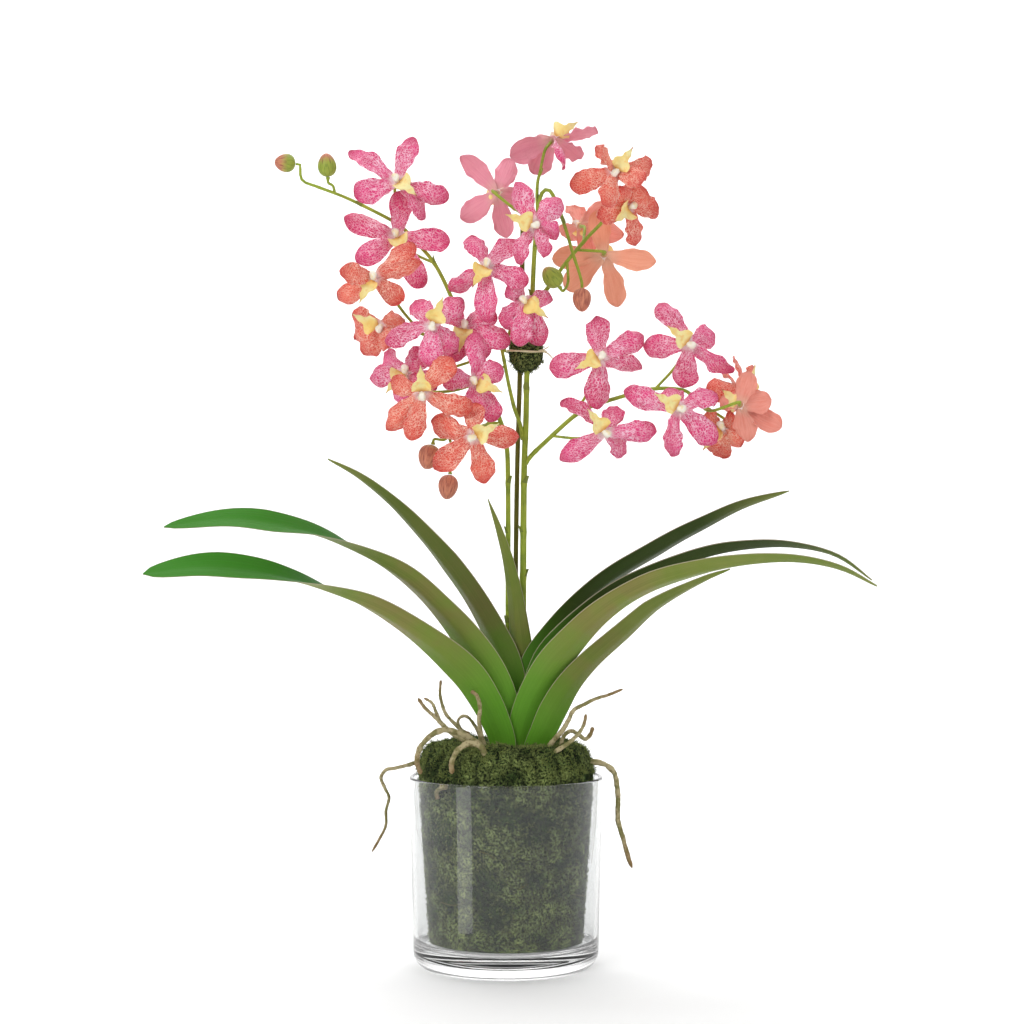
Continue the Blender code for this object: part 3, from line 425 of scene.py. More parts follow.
LOOKS = {
    "glass": glass_look(),
    "moss_bed": moss_bed_look(),
    "moss_strands": moss_strand_look(),
    "leaf": leaf_look(),
    "stem": stem_look(),
    "stake": stake_look(),
    "root": root_look(),
    "string": string_look(),
    "bud": bud_look(),
    "pink": bloom_look("pink_bloom", tint(204, 28, 92), tint(236, 54, 130), tint(255, 216, 232),
                       tint(240, 158, 174), tint(224, 122, 146)),
    "salmon": bloom_look("salmon_bloom", tint(226, 100, 98), tint(240, 132, 116), tint(255, 214, 200),
                         tint(250, 174, 144), tint(238, 144, 116)),
    "orange": bloom_look("orange_bloom", tint(210, 50, 44), tint(240, 98, 76), tint(255, 210, 188),
                         tint(242, 158, 142), tint(228, 118, 98)),
}


# Making meshes. The materials read these values at each corner of a piece: its share of the way along and
# across it or around it, whether it is on the upper face, which organ of a bloom it belongs to (a tepal, the
# lip, the column or the calyx, from 0 to 3), whether it is a bract at a joint, how ripe its bud is, and a
# seed and a shade of its own. On the moss the shade is how high a spot lies on its clump, which the moss
# looks turn into painted shade in the creases; on the leaves it is painted shade for a leaf in shadow; on the
# blooms it is a tone of their own that differs at random.
CORNER_VALUES = ("along", "across", "upper", "around", "organ", "node", "ripe", "seed", "shade")


def fresh_form():
    """An empty bmesh with the values that the materials read."""
    form = bmesh.new()
    for name in CORNER_VALUES:
        form.verts.layers.float.new(name)
    return form


def face_outwards(form, corners):
    """Turn the faces round these corners away from the inside of their form."""
    faces = {face for corner in corners for face in corner.link_faces}
    bmesh.ops.recalc_face_normals(form, faces=list(faces))


def mark(form, corners, **values):
    """Write values for the materials on corners."""
    for name, value in values.items():
        layer = form.verts.layers.float[name]
        for corner in corners:
            corner[layer] = value


def piece_from(name, form, look, slot, *nodes):
    """Make a finished piece of a bmesh: it rides with the plant and stands for its CAD nodes."""
    mesh = bpy.data.meshes.new(name)
    for layer_name in CORNER_VALUES:
        layer = form.verts.layers.float[layer_name]
        if not any(corner[layer] for corner in form.verts):
            form.verts.layers.float.remove(layer)
    form.to_mesh(mesh)
    form.free()
    mesh.shade_smooth()
    mesh.set_sharp_from_angle(angle=SHARP_ANGLE)
    piece = bpy.data.objects.new(name, mesh)
    bpy.context.scene.collection.objects.link(piece)
    mesh.materials.append(LOOKS[look])
    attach(piece, "root")
    if nodes:
        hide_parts(*nodes)
    return piece


def blade(form, rows, columns, place, **values):
    """A thin closed blade in a grid; place(u, v, side) puts a corner of its upper (1) or lower (-1) face."""
    sheet = bmesh.ops.create_grid(form, x_segments=columns, y_segments=rows, size=1)["verts"]
    along = form.verts.layers.float["along"]
    across = form.verts.layers.float["across"]
    upper = form.verts.layers.float["upper"]
    for corner in sheet:
        corner[along] = (corner.co.y + 1) / 2
        corner[across] = corner.co.x
    faces = {face for corner in sheet for face in corner.link_faces}
    grown = bmesh.ops.extrude_face_region(form, geom=list(faces), use_keep_orig=True)["geom"]
    top = [item for item in grown if isinstance(item, bmesh.types.BMVert)]
    mark(form, top, upper=1.0)
    for corner in sheet + top:
        corner.co = place(corner[along], corner[across], corner[upper] * 2 - 1)
    mark(form, sheet + top, **values)
    face_outwards(form, sheet + top)


def carried_frames(route, start_side=None):
    """Two directions square to the route at each of its points, carried along it without twisting."""
    sides = []
    side = start_side or Vector((0.0, 1.0, 0.2))
    for index in range(len(route)):
        run = (route[min(index + 1, len(route) - 1)] - route[max(index - 1, 0)]).normalized()
        side = (side - run * side.dot(run)).normalized()
        sides.append((side, run.cross(side)))
    return sides


def rod(form, route, radius, sides=10, **values):
    """A closed round bar along a route; radius(u, angle) gives its surface."""
    rows = len(route) - 1
    skin = bmesh.ops.create_grid(form, x_segments=sides, y_segments=rows, size=1)["verts"]
    along = form.verts.layers.float["along"]
    around = form.verts.layers.float["around"]
    frames = carried_frames(route)
    for corner in skin:
        u = (corner.co.y + 1) / 2
        angle = (corner.co.x + 1) * math.pi
        side, rise = frames[round(u * rows)]
        corner[along] = u
        corner[around] = 1 - abs(corner.co.x)
        reach = radius(u, angle)
        corner.co = route[round(u * rows)] + (side * math.cos(angle) + rise * math.sin(angle)) * reach
    mark(form, skin, **values)
    bmesh.ops.remove_doubles(form, verts=skin, dist=1e-7)
    skin = [corner for corner in skin if corner.is_valid]
    rims = list({edge for corner in skin for edge in corner.link_edges if edge.is_boundary})
    bmesh.ops.holes_fill(form, edges=rims, sides=0)
    face_outwards(form, skin)


def tapering(start, end):
    return lambda u, angle: start + (end - start) * u


def turned(profile, steps):
    """A form turned about the upright axis, from its profile as (radius, height)."""
    form = fresh_form()
    corners = [form.verts.new((radius, 0, height)) for radius, height in profile]
    edges = [form.edges.new(pair) for pair in zip(corners, corners[1:])]
    bmesh.ops.spin(form, geom=corners + edges, axis=(0, 0, 1), cent=(0, 0, 0), steps=steps,
                   angle=2 * math.pi, use_merge=True)
    bmesh.ops.remove_doubles(form, verts=form.verts[:], dist=1e-6)
    return form


def quarter(steps, first=0):
    """The angles of a quarter turn in a number of steps, from one of them on."""
    return [math.pi / 2 * step / steps for step in range(first, steps + 1)]


# Glass vase: its inner floor as radius and height above the base's thickness, the rounding between floor and
# wall as reach and rise, the heights at which the wall is ringed as shares of it, and the underside from the
# ring that it stands on to the hollow in the middle
INNER_FLOOR = [(0.0, -0.0006), (0.030, -0.0002), (0.050, 0.0004)]
FLOOR_EDGE = 0.0006
CORNER_REACH = 0.008
CORNER_RISE = 0.0070
CORNER_STEPS = 6
RIM_EASING = 0.0012
RIM_STEPS = 3
FOOT_STEPS = 8
WALL_RINGS = (0.004, 0.02, 0.25, 0.5, 0.75, 0.985, 0.997)
UNDERSIDE = [(BASE_RADIUS - BASE_ROUNDING, 0.0), (BASE_RADIUS - BASE_ROUNDING - 0.0008, 0.0), (0.0447, 0.0),
             (0.0440, 0.0001), (0.0432, 0.0006), (0.0426, 0.0007), (0.0196, 0.0009), (0.0190, 0.0010),
             (0.0184, 0.0013), (0.0178, 0.0014), (0.0, 0.0015)]
VASE_TURNS = 128


def make_vase():
    """The turned glass: a thick base with a shallow hollow under it, a thin wall, and a melted rim."""
    inner_foot = BASE_RADIUS - WALL
    wall_foot = BASE_THICKNESS + FLOOR_EDGE + CORNER_RISE
    eased_height = VASE_HEIGHT - RIM_EASING
    profile = [(radius, BASE_THICKNESS + rise) for radius, rise in INNER_FLOOR]
    for angle in quarter(CORNER_STEPS, 1):
        profile.append((inner_foot - CORNER_REACH + CORNER_REACH * math.sin(angle),
                        BASE_THICKNESS + FLOOR_EDGE + CORNER_RISE * (1 - math.cos(angle))))
    for share in WALL_RINGS:
        profile.append((inner_foot + (RIM_RADIUS - BASE_RADIUS) * share,
                        wall_foot + (eased_height - wall_foot) * share))
    for centre, first in ((RIM_RADIUS - WALL + RIM_EASING, math.pi), (RIM_RADIUS - RIM_EASING, math.pi / 2)):
        for turn in quarter(RIM_STEPS):
            profile.append((centre + RIM_EASING * math.cos(first - turn),
                            eased_height + RIM_EASING * math.sin(first - turn)))
    for share in reversed(WALL_RINGS):
        profile.append((BASE_RADIUS + (RIM_RADIUS - BASE_RADIUS) * share,
                        BASE_ROUNDING + (eased_height - BASE_ROUNDING) * share))
    for angle in quarter(FOOT_STEPS)[:-1]:
        profile.append((BASE_RADIUS - BASE_ROUNDING * (1 - math.cos(angle)),
                        BASE_ROUNDING * (1 - math.sin(angle))))
    form = turned(profile + UNDERSIDE, VASE_TURNS)
    bmesh.ops.recalc_face_normals(form, faces=form.faces[:])
    piece_from("vase_glass", form, "glass", "glass", "glass_vase").visible_shadow = False


# Moss: mounds of its surface as centre x, centre y, reach and rise, all in millimetres
MOUNDS = [(0, -44, 20, 4), (42, -22, 17, 3), (-42, -18, 17, 3), (-30, 34, 18, 4), (30, 38, 20, 4),
          (-56, 4, 12, 3), (56, 12, 12, 2), (26, -48, 11, 2), (-26, -50, 11, 2)]
MOSS_SHOULDER = 14
MOSS_LUMP = 0.0022
MOSS_EDGE = VASE_HEIGHT - 0.002
CLUMP_SIZE = 0.0115
CLUMP_RISE = 0.0026
BED_RADII = [radius * MM for radius in (*range(0, 61, 2), 61.5, 63)]
BED_DEPTH = 0.0020
BED_ROWS = 44
BED_TURNS = 150
BED_CRUMB = 0.0008
STRAND_RADIUS = 0.00028
STRAND_LENGTH = 0.0030
STRAND_JOINTS = 4
STRAND_KINDS = 16
STRANDS_ABOVE = 4400
STRANDS_BESIDE = 3500


def moss_height(x, y):
    """Height of the moss surface: flat-topped mounds that fall steeply to the glass."""
    reach = min(math.hypot(x, y) / MOSS_TOP_RADIUS, 1.0)
    fall = 1 - reach ** MOSS_SHOULDER
    rise = MOSS_RISE + MOSS_LUMP * noise.noise(Vector((x, y, 0.0)) * 60)
    for centre_x, centre_y, spread, mound in MOUNDS:
        distance = math.hypot(x - centre_x * MM, y - centre_y * MM) / (spread * MM)
        rise += mound * MM * math.exp(-distance ** 2)
    return MOSS_EDGE + rise * fall


def moss_side_radius(height):
    floor = BASE_THICKNESS + GAP
    share = (height - floor) / (VASE_HEIGHT - floor)
    return MOSS_BOTTOM_RADIUS + (MOSS_TOP_RADIUS - MOSS_BOTTOM_RADIUS) * share


def clump(spot):
    """How high a spot lies on its rounded clump of moss: 0 in the creases between clumps and 1 on top; the
    moss looks paint shade into the creases from it.
    """
    wobble = Vector((noise.noise(spot * 240), noise.noise(spot * 240 + Vector((9, 9, 9))), 0)) * 0.25
    nearest = noise.voronoi(spot / CLUMP_SIZE + wobble)[0]
    return smooth_step(-0.06, 0.34, nearest[1] - nearest[0])


def crumble(spot, reach):
    """How far the moss stands proud at a spot: clumps, and the crumbs on them."""
    return reach * (noise.noise(spot * 110) + 0.6 * noise.noise(spot * 320) + 0.35 * noise.noise(spot * 800))


def make_moss_bed():
    """The ground of the moss, which the strands stand on."""
    floor = BASE_THICKNESS + 2 * GAP
    profile = [(radius, VASE_HEIGHT + 0.01) for radius in BED_RADII]
    for row in range(BED_ROWS + 1):
        height = MOSS_EDGE - (VASE_HEIGHT - 0.004 - floor) * row / BED_ROWS
        profile.append((moss_side_radius(height) - BED_DEPTH, height))
    profile += [(MOSS_BOTTOM_RADIUS - 0.004, floor + 0.0004), (0.0, floor + 0.0004)]
    form = turned(profile, BED_TURNS)
    # Each corner's clump height goes to shade, which the moss look turns into painted shade in the creases.
    shade = form.verts.layers.float["shade"]
    for corner in form.verts:
        x, y, z = corner.co
        if z > VASE_HEIGHT:
            corner[shade] = clump(Vector((x, y, 0)))
            rise = crumble(corner.co, BED_CRUMB) + CLUMP_RISE * (corner[shade] - 0.8)
            corner.co.z = moss_height(x, y) + rise
        elif z > floor + 0.001:
            out = Vector((x, y, 0)).normalized()
            corner[shade] = clump(corner.co)
            corner.co += out * min(crumble(corner.co, BED_CRUMB) + 0.0012 * (corner[shade] - 0.6), BED_CRUMB)
    bmesh.ops.recalc_face_normals(form, faces=form.faces[:])
    piece_from("moss_bed", form, "moss_bed", "moss", "moss_fill")


def tuft_mesh(chance):
    """One strand of moss on the z axis: a curly stalk with its forks."""
    form = fresh_form()
    along = form.verts.layers.float["along"]
    spot = Vector((0, 0, -0.0008))
    way = Vector((0, 0, 1))
    pieces = []
    for joint in range(STRAND_JOINTS):
        turn = Vector((chance.uniform(-1, 1), chance.uniform(-1, 1), chance.uniform(-0.3, 0.4)))
        way = (way + turn * 1.15).normalized()
        length = STRAND_LENGTH * chance.uniform(0.24, 0.38)
        pieces.append((spot, way, length, 1 - 0.15 * joint))
        spot = spot + way * length
        if joint:
            fork = (way + Vector((chance.uniform(-1, 1), chance.uniform(-1, 1), 0.3))).normalized()
            pieces.append((spot - way * length * 0.4, fork, length * 0.9, 0.65))
    for start, way, length, share in pieces:
        aim = way.to_track_quat("Z", "Y").to_matrix().to_4x4()
        place = Matrix.Translation(start + way * length / 2) @ aim
        bmesh.ops.create_cone(form, cap_ends=False, segments=3, radius1=STRAND_RADIUS * share,
                              radius2=STRAND_RADIUS * share * 0.7, depth=length, matrix=place)
    for corner in form.verts:
        corner[along] = min(max(corner.co.z / STRAND_LENGTH, 0.0), 1.0)
    mesh = bpy.data.meshes.new("moss_tuft")
    form.to_mesh(mesh)
    form.free()
    return mesh


def scatter_tufts(form, spots, chance, spread):
    """Set tufts on spots, each a point, the way out from the moss there and its height on its clump."""
    tufts = [tuft_mesh(chance) for number in range(STRAND_KINDS)]
    for spot, out, height in spots:
        tuft = chance.choice(tufts)
        lean = Vector((chance.uniform(-1, 1), chance.uniform(-1, 1), chance.uniform(-1, 1)))
        aim = (out + lean * spread).normalized().to_track_quat("Z", "Y").to_matrix().to_4x4()
        place = Matrix.Translation(spot) @ aim @ Matrix.Rotation(chance.uniform(0, 2 * math.pi), 4, "Z")
        place = place @ Matrix.Scale(chance.uniform(0.7, 1.2), 4)
        # The tuft's height on its clump goes to shade, which the strand look turns into painted shade in the
        # creases.
        tuft.attributes["shade"].data.foreach_set("value", [0.001 + height] * len(tuft.vertices))
        tuft.transform(place)
        form.from_mesh(tuft)
        tuft.transform(place.inverted())
    for tuft in tufts:
        bpy.data.meshes.remove(tuft)


# What lies between the moss and the glass in front, as (across, down): a root's end, and a few dry needles
ROOT_END = [(447, 787), (442, 788), (438, 792), (439, 799)]
NEEDLES = [
    [(480, 851), (488, 854), (496, 859)],
    [(442, 902), (453, 905), (465, 903)],
    [(571, 894), (584, 896)],
    [(519, 889), (527, 884)],
]
LITTER_LIFT = 0.0004


def on_moss(across, down):
    """The point just clear of the moss's side that shows at a pixel, found in a few rounds."""
    spot = seen(across, down)
    for number in range(4):
        reach = moss_side_radius(spot.z) + LITTER_LIFT
        spot = seen(across, down, -math.sqrt(max(reach ** 2 - spot.x ** 2, 0.0)) / MM)
    return spot


def make_moss_litter():
    """The root's end and the dry needles that show between the moss and the glass."""
    form = fresh_form()
    rod(form, smooth_route([on_moss(*spot) for spot in ROOT_END], 6), tapering(0.0018, 0.0014), 10)
    piece_from("root_end_in_glass", form, "root", "root")
    form = fresh_form()
    for needle in NEEDLES:
        rod(form, smooth_route([on_moss(*spot) for spot in needle], 5), tapering(0.0003, 0.0002), 6)
    piece_from("moss_needles", form, "stake", "moss")


def spots_above(chance, side):
    """Places for strands on the front (-1) or back (1) half of the mounds, closer together on the clumps."""
    spots = []
    step = 0.001
    while len(spots) < STRANDS_ABOVE:
        x = chance.uniform(-1, 1) * (MOSS_TOP_RADIUS - 0.001)
        y = chance.uniform(0, 1) * (MOSS_TOP_RADIUS - 0.001) * side
        if math.hypot(x, y) > MOSS_TOP_RADIUS - 0.0012:
            continue
        slope_x = (moss_height(x + step, y) - moss_height(x - step, y)) / (2 * step)
        slope_y = (moss_height(x, y + step) - moss_height(x, y - step)) / (2 * step)
        steep = math.sqrt(1 + min(slope_x ** 2 + slope_y ** 2, 9))
        lit = clump(Vector((x, y, 0)))
        if chance.random() > steep / 3.2 * (0.35 + 0.65 * lit):
            continue
        height = moss_height(x, y) - 0.0010 + CLUMP_RISE * (lit - 0.8)
        spots.append((Vector((x, y, height)), Vector((-slope_x, -slope_y, 1)).normalized(), lit))
    return spots


def spots_beside(chance, side):
    """Places for strands on the front (-1) or back (1) half of the plug's side, behind the glass."""
    spots = []
    while len(spots) < STRANDS_BESIDE:
        height = chance.uniform(BASE_THICKNESS + 0.003, VASE_HEIGHT)
        angle = chance.uniform(0, math.pi) * side
        out = Vector((math.cos(angle), math.sin(angle), 0))
        spot = out * moss_side_radius(height) + Vector((0, 0, height))
        lit = clump(spot)
        if chance.random() < 0.3 + 0.7 * lit:
            spots.append((spot - out * 0.0024, out, lit))
    return spots


def make_moss_strands():
    """The strands on the mounds and those that press toward the glass, each in front and behind."""
    chance = random.Random("moss")
    for part, side in (("front", -1), ("back", 1)):
        spots = spots_above(chance, side)
        form = fresh_form()
        scatter_tufts(form, spots, chance, 0.9)
        piece_from("moss_strands_" + part, form, "moss_strands", "moss")
        form = fresh_form()
        scatter_tufts(form, spots_beside(chance, side), chance, 1.8)
        for corner in form.verts:
            reach = corner.co.xy.length
            most = moss_side_radius(corner.co.z) - LITTER_LIFT
            if reach > most:
                corner.co.xy *= most / reach
            corner.co.z = max(corner.co.z, BASE_THICKNESS + GAP)
        piece_from("moss_strands_low_" + part, form, "moss_strands", "moss")


# Leaves: the route from the moss to the tip as (across, down, depth), the width factor, and the turn of the
# blade in degrees at its base, middle and tip; then the tip's share of the length and its bluntness, and the
# fold at its keel. At 90 the blade lies flat, above it the underside shows, and below it the upper side.
LEAVES = {
    "leaf_left_low": ([
        (503, 744, -13), (496, 722, -15), (484, 698, -19), (466, 673, -26), (432, 644, -42),
        (380, 610, -66), (330, 589, -90), (290, 577, -108), (250, 569, -122), (200, 566, -137),
        (143, 574, -150),
    ], 0.95, (178, 128, 46), (0.15, 0.92), 24),
    "leaf_left_high": ([
        (512, 742, -6), (506, 712, -8), (497, 686, -11), (480, 657, -17), (448, 617, -31), (400, 573, -54),
        (330, 537, -84), (272, 523, -106), (225, 519, -120), (164, 527, -134),
    ], 0.95, (178, 128, 50), (0.20, 0.7), 24),
    "leaf_left_upright": ([
        (517, 740, 1), (514, 706, 1), (506, 664, 3), (493, 634, 7), (467, 590, 16), (432, 545, 28),
        (395, 505, 38), (362, 478, 46), (328, 459, 54),
    ], 0.92, (178, 142, 128), (0.42, 0.30), 32),
    "leaf_centre": ([
        (524, 740, 9), (523, 706, 9), (522, 672, 9), (519, 637, 8.5), (515, 600, 7), (508, 562, 5),
        (499, 530, 4), (488, 499, 3),
    ], 0.74, (180, 160, 150), (0.52, 0.22), 30),
    "leaf_right_upright": ([
        (526, 740, 4), (527, 706, 4), (533, 668, 4.5), (552, 637, 11), (578, 606, 20), (612, 577, 32),
        (662, 547, 48), (700, 526, 60), (740, 506, 70), (789, 491, 79),
    ], 0.82, (178, 132, 130), (0.34, 0.50), 24),
    "leaf_right_far": ([
        (528, 742, -2.5), (531, 712, -2.5), (541, 676, -3), (558, 645, -5), (604, 600, -9),
        (646, 576, -14), (700, 555, -18), (745, 546, -21), (790, 545, -25), (835, 555, -29),
        (872, 580, -33),
    ], 0.90, (178, 112, 96), (0.24, 0.45), 36),
    "leaf_right_front": ([
        (519, 744, -9.5), (526, 714, -12), (540, 684, -16), (560, 655, -24), (600, 615, -40),
        (645, 587, -56), (695, 571, -71), (745, 562, -83), (795, 560, -92), (840, 568, -98),
        (877, 586, -105),
    ], 0.96, (178, 132, 106), (0.24, 0.4), 22),
    "leaf_right_low": ([
        (535, 750, -16.5), (543, 732, -18), (554, 709, -19), (570, 684, -19), (594, 658, -18),
        (622, 634, -16), (655, 606, -13), (694, 584, -11), (730, 569, -8),
    ], 0.80, (178, 140, 122), (0.30, 0.3), 20),
}
LEAF_ROWS = 60
LEAF_COLUMNS = 12
BASE_FOLD = 6
TIP_FOLD = 10

# Painted shade: how much darker than the others a leaf that lies in shadow is, and below zero lighter
LEAF_PAINTED_SHADE = {
    "leaf_left_high": -0.10, "leaf_left_upright": 0.55, "leaf_centre": 0.20,
    "leaf_right_upright": 0.95, "leaf_right_far": 0.95, "leaf_right_low": 0.30,
}


def leaf_outline(u, tip_share, bluntness):
    """Half-width along a leaf, as a share of its widest: narrower at the base, and drawn in at the tip."""
    body = (0.66 + 0.34 * smooth_step(0.0, 0.3, u)) * (1 - 0.14 * u)
    if u < 1 - tip_share:
        return body
    t = (u - 1 + tip_share) / tip_share
    drawn_in = math.sqrt(max(1 - t * t, 0.0)) * bluntness + (1 - t) * (1 - bluntness)
    return body * max(drawn_in, 0.04)


def leaf_surface(name):
    """A function that puts a leaf's corners: a keeled strap whose blade turns along its length."""
    points, width, turns, (tip_share, bluntness), middle_fold = LEAVES[name]
    above = seen_all(points)
    foot = Vector((above[0].x, above[0].y, POCKET_FLOOR + GAP))
    route = evenly(smooth_route([foot, foot + Vector((0, 0, 0.008))] + above, 6), LEAF_ROWS)
    side_sign = 1 if points[-1][0] > points[0][0] else -1
    sight = Vector((0, 1, 0))
    seed = Vector((len(name), points[0][0], 0.0))

    def place(u, v, side):
        index = round(u * LEAF_ROWS)
        run = (route[min(index + 1, LEAF_ROWS)] - route[max(index - 1, 0)]).normalized()
        if index == 0:
            run = Vector((0, 0, 1))
        outward = sight.cross(run).normalized() * side_sign
        toward = (run * run.dot(sight) - sight).normalized()
        base, middle, tip = turns
        turn = math.radians(base + (middle - base) * smooth_step(0.10, 0.50, u)
                            + (tip - middle) * smooth_step(0.45, 0.85, u))
        near_edge = outward * math.cos(turn) + toward * math.sin(turn)
        upper = toward * math.cos(turn) - outward * math.sin(turn)
        half = LEAF_WIDTH / 2 * width * leaf_outline(u, tip_share, bluntness)
        fold = math.radians(BASE_FOLD + (middle_fold - BASE_FOLD) * smooth_step(0.12, 0.4, u)
                            + (TIP_FOLD - middle_fold) * smooth_step(0.6, 1.0, u))
        keel = math.sqrt(v * v + 0.012) - 0.5
        thickness = LEAF_THICKNESS * (1.0 - 0.62 * abs(v) ** 3)
        wave = 0.0005 * abs(v) * noise.noise(seed + Vector((u * 9, v, 0)))
        centre = route[index] + near_edge * (half * math.cos(fold) * v)
        return centre + upper * (half * math.sin(fold) * keel + wave + side * thickness / 2)

    return place


def make_leaves():
    for name in LEAVES:
        form = fresh_form()
        blade(form, LEAF_ROWS, LEAF_COLUMNS, leaf_surface(name), shade=LEAF_PAINTED_SHADE.get(name, 0.0))
        piece_from(name.replace("leaf_", "strap_leaf_"), form, "leaf", "leaf", name)


# Blooms: colour, centre (across, down, depth), facing as the yaw to the right and the pitch up in degrees,
# the lip's tip, and five tepals, each with its tip (across, down), how far it leans forward (+) or back (-),
# and where it is turned on its length, by how many degrees
BLOOMS = {
    "bloom_01": ("pink", (397, 182, -6), (8, 12), (414, 200), [
        (349, 150, -0.6), (414, 138, -0.6), (354, 197, 0.4), (448, 201, -0.6, 50), (428, 218, -0.7, -30)]),
    "bloom_02": ("pink", (397, 237, 10), (0, 8), (404, 254), [
        (344, 219, -0.6), (401, 191, 0.2), (450, 243, -0.6), (357, 261, 0.4), (422, 288, 0.2)]),
    "bloom_03": ("orange", (374, 279, -26), (-15, 0), (366, 298), [
        (415, 244, -0.5), (340, 272, 0.5), (422, 262, 0.4, 55), (337, 301, -0.5), (401, 301, -0.4)]),
    "bloom_04": ("orange", (381, 326, 0), (-35, -10), (372, 322), [
        (352, 316, -0.6), (354, 341, -0.6), (366, 354, -0.6), (390, 348, 0.3), (404, 318, -0.3)]),
    "bloom_05": ("pink", (432, 325, -32), (10, 10), (444, 293), [
        (384, 341, -0.6), (415, 300, -0.4), (462, 300, -0.6), (458, 352, -0.4), (430, 367, 0.3)]),
    "bloom_06": ("orange", (422, 393, -48), (0, -4), (421, 364), [
        (385, 430, -0.6), (411, 441, 0.3), (472, 412, -0.3), (453, 358, -0.4, -10), (391, 381, -0.5)]),
    "bloom_07": ("pink", (405, 372, -8), (-15, 0), (395, 386), [
        (367, 378, -0.5), (383, 352, -0.5), (425, 350, 0.2), (438, 388, -0.2), (404, 410, -0.5)]),
    "bloom_08": ("pink", (475, 382, -22), (15, 0), (510, 397), [
        (476, 332, -0.4), (443, 377, 0.3), (472, 414, 0.1), (501, 367, 0.3), (497, 420, -0.3)]),
    "bloom_09": ("orange", (474, 436, -44), (5, -5), (507, 418), [
        (429, 422, -0.6), (434, 470, -0.6), (485, 483, -0.5), (519, 437, -0.4), (474, 402, -0.4)]),
    "bloom_10": ("pink", (497, 193, 26), (172, 5), (488, 200), [
        (463, 156, 0.6), (459, 218, 0.6), (511, 158, 0.5), (528, 200, 0.3), (507, 238, 0.5)]),
    "bloom_11": ("pink", (553, 139, 2), (150, 40), (567, 128), [
        (509, 155, -0.4), (599, 136, 0.6), (565, 165, -0.8), (534, 175, 0.5), (582, 158, 0.4)]),
    "bloom_12": ("orange", (615, 172, -12), (12, 8), (632, 148), [
        (596, 147, 0.5, 35), (570, 187, -0.5), (655, 165, -0.5, 30), (645, 181, 0.4), (606, 205, 0.6)]),
    "bloom_13": ("orange", (628, 207, 10), (25, -10), (616, 214), [
        (646, 190, 0.3), (659, 209, -0.5), (638, 246, -0.5), (596, 216, 0.5), (622, 186, 0.5)]),
    "bloom_14": ("salmon", (604, 255, 22), (175, -4), (604, 246), [
        (597, 212, 0.2), (656, 262, 0.5), (619, 307, 0.5), (552, 259, 0.3), (565, 289, 0.5)]),
    "bloom_15": ("orange", (580, 226, 50), (190, 10), (590, 236), [
        (574, 204, 0.6), (611, 204, 0.6), (624, 236, 0.6), (592, 258, 0.6), (562, 236, 0.6)]),
    "bloom_16": ("pink", (534, 225, -40), (-12, 2), (505, 215), [
        (516, 182, -0.6), (563, 197, -0.6), (560, 232, 0.3, 45), (515, 264, -0.5, 30), (548, 256, 0.3, 45)]),
    "bloom_17": ("pink", (486, 266, -14), (-5, 4), (477, 284), [
        (470, 236, -0.5, 35), (517, 240, -0.3), (528, 284, -0.2), (449, 292, -0.5, -42), (486, 322, 1)]),
    "bloom_18": ("pink", (524, 300, -4), (15, -15), (540, 312), [
        (503, 326, 0.4), (542, 346, -0.5), (520, 345, 0.4), (552, 300, -0.4), (508, 285, 0.2)]),
    "bloom_19": ("pink", (464, 328, -4), (0, 5), (462, 340), [
        (510, 342, 0.2), (494, 310, 0.2), (446, 305, 0.2), (452, 362, 0.2), (486, 358, 0.2)]),
    "bloom_20": ("pink", (600, 358, -10), (-8, 4), (567, 376), [
        (597, 317, -0.6), (645, 334, -0.6), (549, 369, -0.6), (596, 409, -0.6), (642, 368, -0.7, 48)]),
    "bloom_21": ("pink", (689, 344, -8), (-6, 4), (661, 322), [
        (659, 302, -0.6, 30), (642, 348, -0.6), (713, 334, -0.7), (684, 387, -0.5), (733, 374, -0.6, 45)]),
    "bloom_22": ("pink", (605, 432, -24), (-4, 6), (582, 403), [
        (562, 399, -0.6, 45), (560, 460, -0.6), (656, 430, -0.5, 30), (628, 454, -0.7), (617, 408, -0.7)]),
    "bloom_23": ("pink", (679, 408, -34), (-6, 4), (644, 389), [
        (623, 392, -0.6), (718, 394, -0.5), (717, 443, -0.6), (672, 457, -0.6, 35), (668, 388, -0.7)]),
    "bloom_24": ("orange", (742, 392, 6), (60, 0), (738, 364), [
        (735, 356, -0.5), (714, 363, -0.5), (706, 388, 0.1), (730, 408, 0.35), (752, 366, -0.3)]),
    "bloom_25": ("orange", (740, 405, -26), (168, -4), (732, 398), [
        (771, 400, 0.2), (748, 442, 0.3), (781, 428, 0.3), (720, 396, 0.75), (750, 372, 0.1)]),
    "bloom_26": ("orange", (722, 427, -10), (-30, -8), (712, 440), [
        (722, 458, -0.4), (709, 452, -0.4), (740, 448, -0.2), (702, 420, -0.2), (738, 422, 0.0)]),
}
MOST_LEAN = 0.030
TEPAL_GRID = (20, 10)
TEPAL_RUFFLE = 0.0034
TEPAL_SPREAD = 0.0006
LIP_GRID = (16, 8)
LIP_BOW = 0.10
LIP_FORWARD = 0.011
LIP_RUFFLE = 0.0006


def facing(yaw, pitch):
    """The way that a bloom's face looks: straight at the viewer, turned right by the yaw, up by the pitch."""
    turn = math.radians(yaw)
    rise = math.radians(pitch)
    return Vector((math.sin(turn) * math.cos(rise), -math.cos(turn) * math.cos(rise), math.sin(rise)))


